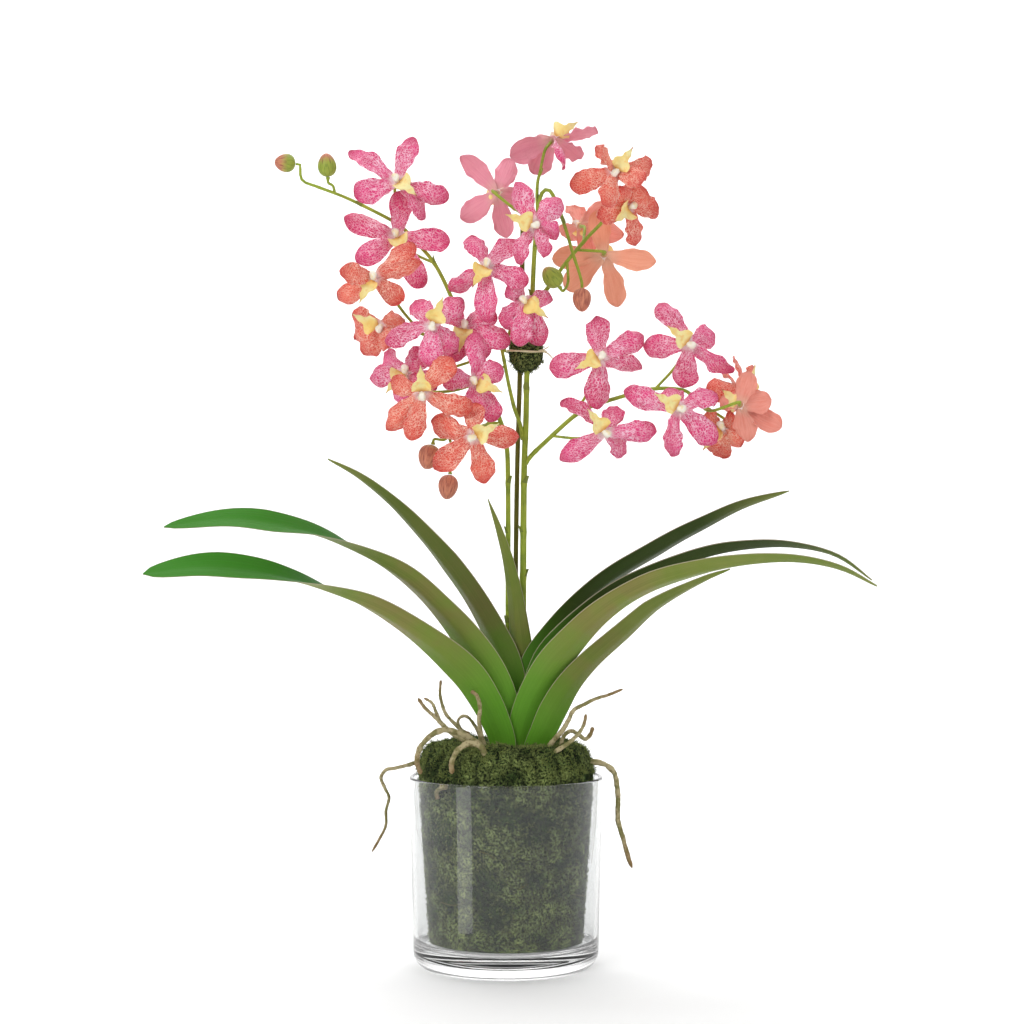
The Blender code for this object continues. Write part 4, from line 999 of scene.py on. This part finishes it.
def tepal_outline(bluntness):
    """Half-width along a tepal: a narrow claw, widest past the middle, and a tip as blunt as given."""
    def outline(u):
        body = 0.10 + 0.38 * smooth_step(-0.03, 0.10, u) + 0.52 * smooth_step(0.06, 0.68, u)
        if u < 0.60:
            return body
        t = (u - 0.60) / 0.40
        return body * max(max(1 - t ** bluntness, 0.0) ** 0.6, 0.04)

    return outline


def lip_outline(u):
    """Half-width along the lip: broad side lobes near the root, then a narrow strap that ends in a point."""
    side_lobes = 0.86 * math.exp(-((u - 0.31) / 0.19) ** 4)
    strap = 0.34 * (1 - smooth_step(0.62, 1.0, u)) + 0.12 * math.exp(-((u - 0.72) / 0.10) ** 2)
    return 0.06 + side_lobes + strap * smooth_step(0.0, 0.3, u)


def lip_cup(u):
    """How far the lip's edges rise beside its middle: the side lobes stand up, and the tip is flat."""
    return 1.1 * math.exp(-((u - 0.28) / 0.16) ** 2) - 0.3 * smooth_step(0.6, 1.0, u)


def lip_thickness(u):
    return 0.0009 + 0.0026 * math.exp(-((u - 0.30) / 0.20) ** 2)


def petal(form, start, tip, face, half_width, outline, grid, thickness,
          bow, curl, cup, twist, ruffle, **values):
    """A petal from its root to its tip: bow bends it along, curl its end, cup across, ruffle its margin."""
    length = (tip - start).length
    run = (tip - start) / length
    normal = (face - run * face.dot(run)).normalized()
    normal.rotate(Matrix.Rotation(twist, 3, run))
    side = run.cross(normal)
    seed = start * 900

    def place(grid_u, v, face_side):
        u = 1 - (1 - grid_u) ** 1.35
        half = half_width * outline(u)
        lift = bow * length * math.sin(math.pi * u) + cup(u) * half * (v * v - 0.3)
        lift += curl * length * smooth_step(0.55, 1.25, u)
        wave = ruffle * v * v * noise.noise(seed + Vector((u * 7, v * 1.5, 0)))
        notch = 1 + 0.14 * v * v * noise.noise(seed + Vector((u * 6, v, 5)))
        rib = -0.00025 * math.exp(-(v / 0.16) ** 2) * face_side * (1 - u)
        thick = thickness(u) * (1 - 0.6 * v * v)
        return (start + run * (length * u) + side * (half * v * notch)
                + normal * (lift + wave + rib + face_side * thick / 2))

    blade(form, *grid, place, **values)


def bloom_back(name):
    """Where a bloom's stalk meets it, and the way that the bloom faces."""
    centre_spot, look_at = BLOOMS[name][1:3]
    face = facing(*look_at)
    return seen(*centre_spot) - face * (HUB_BACK - HUB_FRONT + GAP), face


def tepal_tip(centre, depth, tip, face):
    """A tepal's tip: the photograph gives its place, and its true length gives how far it leans."""
    across, down, lean = tip[:3]
    flat = seen(across, down, depth)
    reach = (flat - centre).length
    off_plane = min(math.sqrt(max(TEPAL_LENGTH ** 2 - reach ** 2, 0.0)) + 0.004, MOST_LEAN)
    forward = 1 if face.y < 0 else -1
    return flat + (EYE - centre).normalized() * (off_plane * lean * forward)


def calyx_radius(u, angle):
    return 0.0012 + 0.0014 * smooth_step(0.2, 1.0, u) + 0.0001 * math.cos(3 * angle)


def column_radius(u, angle):
    """The column: a stout lump with a waist above its foot and a round, uneven head."""
    head = 0.0029 - 0.0006 * math.sin(math.pi * min(u / 0.6, 1.0)) + 0.0003 * smooth_step(0.5, 0.8, u)
    head *= 1 + 0.16 * math.cos(2 * angle) + 0.12 * math.cos(3 * angle + 5 * u)
    return head * math.sqrt(max(1 - (max(u - 0.66, 0.0) / 0.35) ** 2, 0.0))


def make_bloom(name):
    """A bloom: five tepals, the three-lobed lip, the column, and the calyx that its stalk meets."""
    colour, centre_spot, look_at, lip_tip, tepals = BLOOMS[name]
    chance = random.Random(name)
    whim = random.Random(name + "_tepals")
    face = facing(*look_at)
    centre = seen(*centre_spot)
    lip_way = seen(lip_tip[0], lip_tip[1], centre_spot[2]) - centre
    lip_way = (lip_way - face * lip_way.dot(face)).normalized()
    form = fresh_form()
    for tip in tepals:
        end = tepal_tip(centre, centre_spot[2], tip, face)
        half_width = TEPAL_WIDTH / 2 * chance.uniform(0.94, 1.06) * whim.uniform(0.88, 1.0)
        bow = chance.uniform(0.03, 0.09)
        depth = chance.uniform(-0.35, -0.15) + whim.uniform(-0.35, 0.45)
        twist = math.radians(tip[3] if len(tip) > 3 else chance.uniform(-20, 20))
        root = centre + (end - centre).normalized() * TEPAL_SPREAD
        outline = tepal_outline(whim.uniform(1.5, 3.4))
        curl = whim.uniform(-0.16, 0.12)
        petal(form, root, end, face, half_width, outline, TEPAL_GRID, lambda u: TEPAL_THICKNESS,
              bow, curl, lambda u: depth * smooth_step(0.1, 0.5, u), twist, TEPAL_RUFFLE,
              seed=whim.uniform(1, 90), shade=whim.uniform(0.001, 1))
    lip_end = centre + lip_way * LIP_LENGTH + face * LIP_FORWARD
    petal(form, centre + face * 0.0010, lip_end, face, LIP_WIDTH / 2, lip_outline, LIP_GRID, lip_thickness,
          LIP_BOW, 0, lip_cup, 0, LIP_RUFFLE, organ=1.0, shade=whim.uniform(0.001, 1))
    foot = centre + face * 0.0002
    head = centre + face * (HUB_FRONT + COLUMN_LENGTH * 0.85) - lip_way * 0.0030
    middle = foot.lerp(head, 0.5) - lip_way * 0.0004
    rod(form, evenly(smooth_route([foot, middle, head], 6), 12), column_radius, 12, organ=2.0)
    back = centre - face * (HUB_BACK - HUB_FRONT)
    rod(form, evenly([back, centre + face * HUB_FRONT * 0.6], 6), calyx_radius, 12, organ=3.0)
    piece_from(name.replace("bloom_", "blossom_"), form, colour, colour + "_tepals", name)


# Flower stems and their branches, as (across, down, depth), from where a stem leaves the moss to the last
# point before its tip bud
STEM_RIGHT = [(523, 742, 18), (523, 610, 18), (524, 479, 17), (526, 420, 16), (527, 371, 14),
              (530, 335, 12), (532, 304, 10), (534, 260, 8), (537, 220, 6), (541, 195, 4), (549, 190, 2),
              (557, 204, 0), (566, 230, -2), (573, 254, -3), (579, 272, -4)]
BRANCH_LEFT = [(523, 440, 16), (520, 424, 15), (514, 407, 13), (508, 381, 10), (504, 360, 8), (499, 341, 7),
               (490, 336, 7)]
BRANCH_HIGH = [(532, 306, 10), (538, 297, 11), (547, 289, 12), (565, 264, 14), (587, 238, 16), (603, 221, 14),
               (612, 205, 12), (617, 196, 10)]
BRANCH_TOP = [(538, 212, 6), (537, 196, 8), (538, 180, 9), (542, 168, 9)]
BRANCH_LOW = [(525, 464, 17), (531, 456, 15), (541, 446, 13), (573, 417, 8), (592, 406, 6), (617, 398, 5),
              (652, 389, 4), (683, 390, 4), (696, 400, 4), (710, 410, 3)]
STEM_LEFT = [(508, 742, 19), (508, 610, 17), (508, 479, 15), (506, 442, 13), (500, 420, 12),
             (490, 396, 11), (480, 370, 10), (470, 345, 9), (460, 320, 10), (452, 299, 12), (442, 277, 14),
             (432, 260, 14), (419, 245, 14), (405, 230, 13), (391, 220, 10), (349, 199, 2), (318, 187, -2),
             (302, 180, -4)]
TWIG_LOW = [(501, 424, 12), (490, 424, 10), (470, 430, 8), (455, 434, 2), (447, 438, -6)]
TWIG_MIDDLE = [(464, 330, 10), (450, 334, 14), (430, 336, 14), (412, 330, 12)]

# Where each bloom's stalk leaves its stem, and any point that it passes
RIGHT_STALKS = {
    "bloom_08": [(505, 366, 9)], "bloom_18": [(504, 352, 7.5)], "bloom_17": [(494, 337, 7)],
    "bloom_10": [(537, 222, 6)], "bloom_11": [(540, 172, 9)], "bloom_16": [(537, 215, 6)],
    "bloom_12": [(614, 202, 11)], "bloom_13": [(607, 214, 13)], "bloom_14": [(577, 250, 15)],
    "bloom_15": [(583, 243, 15.5)], "bloom_20": [(574, 416, 8)], "bloom_21": [(655, 389, 4)],
    "bloom_22": [(552, 436, 11)], "bloom_23": [(640, 392, 4)], "bloom_24": [(706, 407, 3.5)],
    "bloom_25": [(698, 402, 4), (710, 411, -20)], "bloom_26": [(700, 403, 4)],
}
LEFT_STALKS = {
    "bloom_01": [(396, 224, 11)], "bloom_02": [(434, 263, 14)], "bloom_03": [(424, 335, 14)],
    "bloom_04": [(412, 331, 12)], "bloom_05": [(438, 336, 14)], "bloom_06": [(484, 381, 10.5)],
    "bloom_07": [(476, 360, 9.5)], "bloom_09": [(497, 412, 11.5)], "bloom_19": [(466, 336, 9.5)],
}

# Buds: centre, nose, half length and radius, and where the stalk comes from
BUDS = {
    "bud_1": ((285, 163, -4), (275, 162), 0.0075, 0.0065, None),
    "bud_2": ((327, 165, 0), (326, 152), 0.0085, 0.0066, [(335, 194, 0), (333, 186, 0)]),
    "bud_3": ((582, 300, -4), (582, 313), 0.0085, 0.0066, None),
    "bud_4": ((552, 277, 2), (541, 263), 0.0085, 0.0070, [(567, 262, 14), (568, 282, 10)]),
    "bud_5": ((429, 457, -16), (425, 470), 0.0090, 0.0078, [(449, 437, -4), (443, 440, -10)]),
    "bud_6": ((448, 487, -6), (446, 500), 0.0090, 0.0070, [(449, 437, -4), (453, 452, -6)]),
}
RIPENESS = {"bud_1": 0.06, "bud_2": -0.14, "bud_3": 0.75, "bud_4": -0.35, "bud_5": 0.60, "bud_6": 0.75}

# Each stem: its route, tip bud and radius, its branches with their radii at the two ends, its stalks, and the
# buds at its sides
STEMS = {
    "stem_right": (STEM_RIGHT, "bud_3", STEM_RIGHT_RADIUS, [
        (BRANCH_LEFT, 0.0016, 0.0011), (BRANCH_HIGH, 0.0016, 0.0011),
        (BRANCH_TOP, 0.0014, 0.0011), (BRANCH_LOW, 0.0018, 0.0012),
    ], RIGHT_STALKS, ["bud_4"]),
    "stem_left": (STEM_LEFT, "bud_1", STEM_LEFT_RADIUS, [
        (TWIG_LOW, 0.0015, 0.0011), (TWIG_MIDDLE, 0.0015, 0.0011),
    ], LEFT_STALKS, ["bud_2", "bud_5", "bud_6"]),
}
STALK_SIDES = 8
BRANCH_SIDES = 10
BRANCH_SPACING = 0.026
STEM_SIDES = 14
STEM_ROWS = 150
STEM_HOLD = 2
NODE_SPACING = 0.034


def bud_shape(name):
    """A bud's centre, the way that it points, and its half length and radius."""
    centre, nose, half_length, radius = BUDS[name][:4]
    middle = seen(*centre)
    way = (seen(nose[0], nose[1], centre[2]) - middle).normalized()
    return middle, way, half_length, radius


def make_bud(name):
    """An egg-shaped bud of folded tepals: five soft ridges that meet at its nose."""
    middle, way, half_length, radius = bud_shape(name)
    form = fresh_form()
    skin = bmesh.ops.create_uvsphere(form, u_segments=30, v_segments=18, radius=1)["verts"]
    along = form.verts.layers.float["along"]
    around = form.verts.layers.float["around"]
    for corner in skin:
        height = corner.co.z
        angle = math.atan2(corner.co.y, corner.co.x)
        ridge = 1 + 0.055 * (abs(math.cos(2.5 * angle + 0.8 * height)) - 0.6)
        girth = radius * (1 - 0.18 * height) * ridge
        corner[along] = (height + 1) / 2
        corner[around] = abs(angle) / math.pi
        corner.co = Vector((corner.co.x * girth, corner.co.y * girth, height * half_length))
    mark(form, skin, ripe=RIPENESS[name])
    aim = way.to_track_quat("Z", "Y").to_matrix().to_4x4()
    bmesh.ops.transform(form, matrix=Matrix.Translation(middle) @ aim, verts=form.verts[:])
    piece_from("flower_" + name, form, "bud", "bud", name)


def bud_end(name):
    """Where a stem or stalk meets a bud, and the way that the bud points."""
    middle, way, half_length = bud_shape(name)[:3]
    return middle - way * (half_length + GAP), way


def bud_stalk(form, name):
    """A stalk that ends square at the bud's back."""
    end, way = bud_end(name)
    route = smooth_route(seen_all(BUDS[name][4]) + [end - way * 0.004, end], 5)
    rod(form, route, lambda u, angle: 0.0010 + 0.0007 * smooth_step(0.8, 1.0, u), STALK_SIDES)


def stalk(form, bloom, points):
    """A flower stalk that leaves its stem at the first point and arrives square at the bloom's back."""
    end, face = bloom_back(bloom)
    route = seen_all(points)
    distance = (end - route[-1]).length
    lead = min(0.012, distance * 0.45)
    if distance > SAGGING_STALK:
        route.append(route[-1].lerp(end - face * lead, 0.5) + Vector((0, 0, -distance * 0.04)))
    route += [end - face * lead, end]
    rod(form, smooth_route(route, 6), lambda u, angle: STALK_RADIUS * (0.9 + 0.2 * u), STALK_SIDES)


def branch(form, points, radius_start, radius_end):
    route = smooth_route(seen_all(points), 5)
    rod(form, route, jointed(route, radius_start, radius_end, BRANCH_SPACING), BRANCH_SIDES)


def jointed(route, radius_start, radius_end, spacing, hold=1):
    """A stem's radius: tapering, later on if hold is above 1, with a slight swelling at each joint."""
    length = route_length(route)

    def radius(u, angle):
        from_joint = (u * length + spacing * 0.4) % spacing - spacing / 2
        swelling = 0.16 * math.exp(-(from_joint / 0.0016) ** 2)
        return (radius_start + (radius_end - radius_start) * u ** hold) * (1 + swelling)

    return radius


def bract(form, spot, run, out, reach):
    """A small dry bract that clasps the stem at a joint."""
    side = run.cross(out).normalized()

    def place(u, v, face_side):
        angle = v * 1.7 * (1 - 0.75 * u)
        hold = reach * (1.10 + 0.35 * u)
        return (spot + run * (0.0055 * u) + (out * math.cos(angle) + side * math.sin(angle)) * hold
                + out * (0.0008 * u * u) + out * (0.00012 * face_side))

    blade(form, 5, 6, place, node=1.0)


def stem(form, points, tip_bud, radius):
    """A main stem: it stands square in the moss and ends at its last bud."""
    above = seen_all(points)
    foot = Vector((above[0].x, above[0].y, SOCKET_FLOOR + GAP))
    end, way = bud_end(tip_bud)
    route = evenly(smooth_route([foot] + above + [end - way * 0.003, end], 8), STEM_ROWS)
    rod(form, route, jointed(route, radius, STEM_TIP_RADIUS, NODE_SPACING, STEM_HOLD), STEM_SIDES)
    length = route_length(route)
    joints = int(length / NODE_SPACING)
    for number in range(3, joints):
        share = (number + 0.1) * NODE_SPACING / length
        index = min(round(share * STEM_ROWS), STEM_ROWS - 2)
        run = (route[index + 1] - route[index]).normalized()
        angle = number * 2.6
        out = Vector((math.cos(angle), math.sin(angle), 0))
        out = (out - run * out.dot(run)).normalized()
        bract(form, route[index], run, out, radius + (STEM_TIP_RADIUS - radius) * share ** STEM_HOLD)


def make_stem(name):
    """A stem with its branches and the stalks of its blooms and side buds."""
    points, tip_bud, radius, branches, stalks, side_buds = STEMS[name]
    form = fresh_form()
    stem(form, points, tip_bud, radius)
    for route, radius_start, radius_end in branches:
        branch(form, route, radius_start, radius_end)
    for bloom, route in stalks.items():
        stalk(form, bloom, route)
    for bud in side_buds:
        bud_stalk(form, bud)
    piece_from(name, form, "stem", "stem", "flower_" + name)


# The stake behind the stems, and the moss ball that ties it to the right stem, with a string round the ball
STAKE_ROUTE = [(514, 742, 26), (515, 640, 26), (517, 479, 24), (520, 371, 22), (522, 285, 20), (523, 198, 18)]
TIE_CENTRE = (526, 352, 17)
TIE_RADII = Vector((0.0135, 0.0135, 0.0165))
TIE_STRING_RADIUS = 0.0007
TIE_STRING_BAND = 0.0035
TIE_STRANDS = 620
STRING_STEPS = 64
STRING_OVERLAP = 5
STRING_START = -0.9
LOOSE_ENDS = ((0.003, STRING_START), (-0.006, -0.6))


def stake_radius(u, angle):
    return STAKE_RADIUS * (0.97 + 0.06 * noise.noise(Vector((u * 60, angle, 0))))


def make_stake():
    above = seen_all(STAKE_ROUTE)
    foot = Vector((above[0].x, above[0].y, SOCKET_FLOOR + GAP))
    form = fresh_form()
    route = evenly(smooth_route([foot] + above, 6), 90)
    rod(form, route, stake_radius, 12)
    piece_from("stake", form, "stake", "stake", "support_stake")


def make_tie():
    """The moss ball: a lumpy ground with strands all over it."""
    centre = seen(*TIE_CENTRE)
    form = fresh_form()
    shade = form.verts.layers.float["shade"]
    ball = bmesh.ops.create_icosphere(form, subdivisions=4, radius=1)["verts"]
    for corner in ball:
        away = smooth_step(TIE_STRING_BAND, 3 * TIE_STRING_BAND, abs(corner.co.z * TIE_RADII.z))
        swell = 0.93 + 0.12 * away * noise.noise(corner.co * 2.5) + 0.03 * noise.noise(corner.co * 9)
        # An even middle shade, so that the moss look's painted crease shade lies evenly over the ball.
        corner[shade] = 0.4
        corner.co = centre + corner.co * swell * TIE_RADII
    piece_from("tie_ground", form, "moss_bed", "moss", "moss_tie")
    chance = random.Random("tie")
    spots = []
    for number in range(TIE_STRANDS):
        out = Vector((chance.gauss(0, 1), chance.gauss(0, 1), chance.gauss(0, 1))).normalized()
        away = smooth_step(TIE_STRING_BAND * 0.5, 2 * TIE_STRING_BAND, abs(out.z * TIE_RADII.z))
        if chance.random() > 0.15 + away:
            continue
        spots.append((centre + out * (0.80 + 0.10 * away) * TIE_RADII, out, chance.uniform(0.1, 0.9)))
    form = fresh_form()
    scatter_tufts(form, spots, chance, 0.8)
    piece_from("tie_strands", form, "moss_strands", "moss")


def make_string():
    """The raffia: one flat turn round the ball, and two loose ends at its right."""
    centre = seen(*TIE_CENTRE)
    reach = TIE_RADII.x + GAP + TIE_STRING_RADIUS
    form = fresh_form()
    ring = []
    for step in range(STRING_STEPS + STRING_OVERLAP):
        angle = 2 * math.pi * step / STRING_STEPS + STRING_START
        rise = 0.0006 * math.sin(angle * 2 + 1) + (0.0009 if step > STRING_STEPS else 0.0)
        ring.append(centre + Vector((math.cos(angle), math.sin(angle), 0)) * reach + Vector((0, 0, rise)))
    rod(form, ring, lambda u, angle: TIE_STRING_RADIUS * (1 + 0.18 * math.cos(2 * angle + u * 40)), 8)
    for rise, turn in LOOSE_ENDS:
        start = centre + Vector((math.cos(turn), math.sin(turn), 0)) * reach
        way = Vector((math.cos(turn + 0.5), math.sin(turn + 0.5), 0))
        middle = start + way * 0.004 + Vector((0, 0, rise * 0.3))
        end = start + way * 0.008 + Vector((0, 0, rise))
        rod(form, smooth_route([start, middle, end], 8), tapering(TIE_STRING_RADIUS * 0.9, 0.0004), 8)
    piece_from("tie_raffia", form, "string", "string", "tie_string")


# Aerial roots: the routes as (across, down, depth), each with its radii at the two ends in millimetres; the
# first route is the root and any others are its side shoots.
ROOTS = {
    "root_arch_left": [([
        (484, 760, -40), (482, 748, -40), (470, 738, -44), (455, 732, -48), (443, 730, -51),
        (430, 736, -54), (420, 748, -55), (417, 762, -53), (421, 774, -48),
    ], 2.3, 1.8)],
    "root_arch_front": [([
        (486, 762, -50), (482, 748, -53), (470, 743, -57), (458, 750, -60), (452, 762, -61),
        (452, 774, -60),
    ], 2.3, 1.7)],
    "root_forked": [([
        (478, 760, -30), (472, 748, -30), (460, 738, -31), (449, 731, -31), (440, 722, -32),
        (434, 716, -33), (425, 708, -34), (418, 698, -35),
    ], 2.2, 1.1), ([
        (440, 722, -32), (436, 712, -30), (432, 703, -28), (424, 698, -27),
    ], 1.4, 0.9)],
    "root_green": [([
        (484, 760, -21), (474, 744, -21), (457, 726, -21), (446, 714, -20), (441, 700, -19),
        (440, 691, -18), (441, 680, -17),
    ], 1.6, 0.9)],
    "root_hooked": [([
        (487, 762, -27), (485, 748, -28), (481, 734, -30), (479, 720, -30), (480, 708, -29),
        (477, 696, -28), (471, 691, -27),
    ], 1.8, 1.3)],
    "root_loop": [([
        (484, 762, -8), (482, 748, -8), (478, 732, -8), (470, 719, -8), (463, 716, -8), (458, 721, -8),
        (461, 729, -7), (470, 734, -6),
    ], 1.3, 1.0)],
    "root_hanging_left": [([
        (430, 764, 0), (420, 762, -1), (408, 765, -2), (396, 768, -2), (386, 770, -2), (381, 778, -2),
        (385, 788, -2), (389, 798, -2), (386, 811, -2), (386, 825, -2), (380, 838, -3), (372, 852, -4),
    ], 1.5, 0.9)],
    "root_hanging_right": [([
        (584, 763, -8), (595, 762, -8), (606, 765, -8), (614, 773, -8), (617, 785, -8), (618, 800, -8),
        (618, 820, -8), (623, 838, -8), (627, 853, -9), (632, 868, -10),
    ], 2.1, 1.6)],
    "root_far_right": [([
        (538, 764, -31), (545, 752, -31), (553, 741, -31), (562, 731, -31), (568, 721, -30),
        (574, 710, -29), (585, 704, -28), (595, 699, -27), (608, 695, -25), (623, 689, -24),
    ], 2.1, 1.0)],
    "root_bent_right": [([
        (545, 768, -44), (548, 757, -43), (561, 748, -41), (571, 741, -39), (579, 733, -37),
        (584, 724, -36), (586, 714, -35),
    ], 1.8, 1.1)],
    "root_blob_right": [([
        (557, 760, -20), (560, 748, -20), (564, 736, -20), (571, 731, -20), (579, 735, -20),
        (585, 739, -20), (590, 735, -20), (593, 727, -20),
    ], 1.5, 1.5)],
}


def make_root(name):
    """A root and its side shoots: knotty, unevenly thick, and rounded off at the tips."""
    form = fresh_form()
    for number, (points, start, end) in enumerate(ROOTS[name]):
        route = smooth_route(seen_all(points), 10)
        seed = Vector((len(name) * 3.1, number, points[0][0]))
        thick = start * MM
        thin = end * MM

        def radius(u, angle, seed=seed, thick=thick, thin=thin):
            knots = 1 + 0.26 * noise.noise(seed + Vector((u * 13, 0, 0)))
            knots += 0.22 * noise.noise(seed + Vector((u * 40, math.cos(angle), math.sin(angle))))
            rounding = math.sqrt(max(1 - max(u - 0.96, 0) ** 2 / 0.0017, 0.02))
            return (thick + (thin - thick) * u) * knots * rounding

        rod(form, route, radius, 10)
    piece_from("aerial_" + name, form, "root", "root", name)


# The studio: a pale floor that sweeps up behind, the photograph's camera, and soft lights, each with where it
# stands, its size, its power and what it is aimed at
FLOOR_FRONT = -3.5
FLOOR_LENGTH = 8.0
FLOOR_HALF_WIDTH = 5.0
SWEEP_START = 1.4
SWEEP_RADIUS = 1.0
LIGHTS = {
    "key": ((-1.3, -1.7, 1.7), (1.1, 1.3), 24, (0, 0, 0.32)),
    "fill": ((1.5, -1.3, 0.9), (1.2, 1.2), 7, (0, 0, 0.30)),
    "top": ((0.0, 0.5, 1.9), (1.6, 1.2), 12, (0, 0, 0.25)),
    "paper": ((0.0, 1.0, 1.9), (2.4, 0.8), 30, (0, 2.2, 0.6)),
}
SKY_STRENGTH = 0.48
GLEAM_SPOT = (-0.150, -0.160, 0.072)
GLEAM_AIM = (-0.036, -0.058, 0.072)
GLEAM_HEIGHT = 0.17
GLEAM_WIDTHS = (0.030, 0.048, 0.064)
GLEAM_RADIANCE = 2.6


def make_stage():
    form = bmesh.new()
    bmesh.ops.create_grid(form, x_segments=2, y_segments=48, size=1)
    for corner in form.verts:
        beyond = (corner.co.y + 1) / 2 * FLOOR_LENGTH + FLOOR_FRONT - SWEEP_START
        corner.co.x *= FLOOR_HALF_WIDTH
        angle = min(max(beyond / SWEEP_RADIUS, 0.0), math.pi / 2)
        corner.co.y = SWEEP_START + min(beyond, 0.0) + SWEEP_RADIUS * math.sin(angle)
        corner.co.z = SWEEP_RADIUS * (1 - math.cos(angle)) + max(beyond - SWEEP_RADIUS * math.pi / 2, 0.0)
    bmesh.ops.recalc_face_normals(form, faces=form.faces[:])
    mesh = bpy.data.meshes.new("studio_floor")
    form.to_mesh(mesh)
    form.free()
    mesh.shade_smooth()
    floor = bpy.data.objects.new("studio_floor", mesh)
    bpy.context.scene.collection.objects.link(floor)
    look = Look("studio_paper")
    look.colour((0.98, 0.98, 0.98, 1))
    look.rough(0.85)
    mesh.materials.append(look.material)


def make_light(name, spot, size, energy, aim):
    lamp = bpy.data.lights.new(name, "AREA")
    lamp.shape = "RECTANGLE"
    lamp.size, lamp.size_y = size
    lamp.energy = energy
    light = bpy.data.objects.new(name, lamp)
    light.location = spot
    light.rotation_euler = (Vector(aim) - Vector(spot)).to_track_quat("-Z", "Y").to_euler()
    bpy.context.scene.collection.objects.link(light)
    return light


def make_window_gleam():
    """Nested cards that show only as the soft upright gleam in the vase's wall, left of its middle."""
    for width in GLEAM_WIDTHS:
        power = GLEAM_RADIANCE * math.pi * width * GLEAM_HEIGHT
        card = make_light("gleam", GLEAM_SPOT, (width, GLEAM_HEIGHT), power, GLEAM_AIM)
        card.visible_camera = False
        card.visible_diffuse = False
        card.visible_transmission = False


def make_studio():
    make_stage()
    make_window_gleam()
    for name, light in LIGHTS.items():
        make_light(name, *light)
    world = bpy.data.worlds.new("studio")
    world.use_nodes = True
    sky = world.node_tree.nodes["Background"]
    sky.inputs["Color"].default_value = (1, 1, 1, 1)
    sky.inputs["Strength"].default_value = SKY_STRENGTH
    bpy.context.scene.world = world
    lens = bpy.data.cameras.new("camera")
    lens.sensor_width = SENSOR
    lens.lens = SENSOR * FOCAL_PIXELS / IMAGE_WIDTH
    camera = bpy.data.objects.new("camera", lens)
    camera.location = EYE
    camera.rotation_euler = (math.pi / 2, 0, 0)
    bpy.context.scene.collection.objects.link(camera)
    bpy.context.scene.camera = camera
    bpy.context.scene.view_settings.view_transform = "Standard"


def main():
    make_studio()
    make_vase()
    make_moss_bed()
    make_moss_strands()
    make_moss_litter()
    make_leaves()
    for name in STEMS:
        make_stem(name)
    make_stake()
    make_tie()
    make_string()
    for name in BLOOMS:
        make_bloom(name)
    for name in BUDS:
        make_bud(name)
    for name in ROOTS:
        make_root(name)


main()
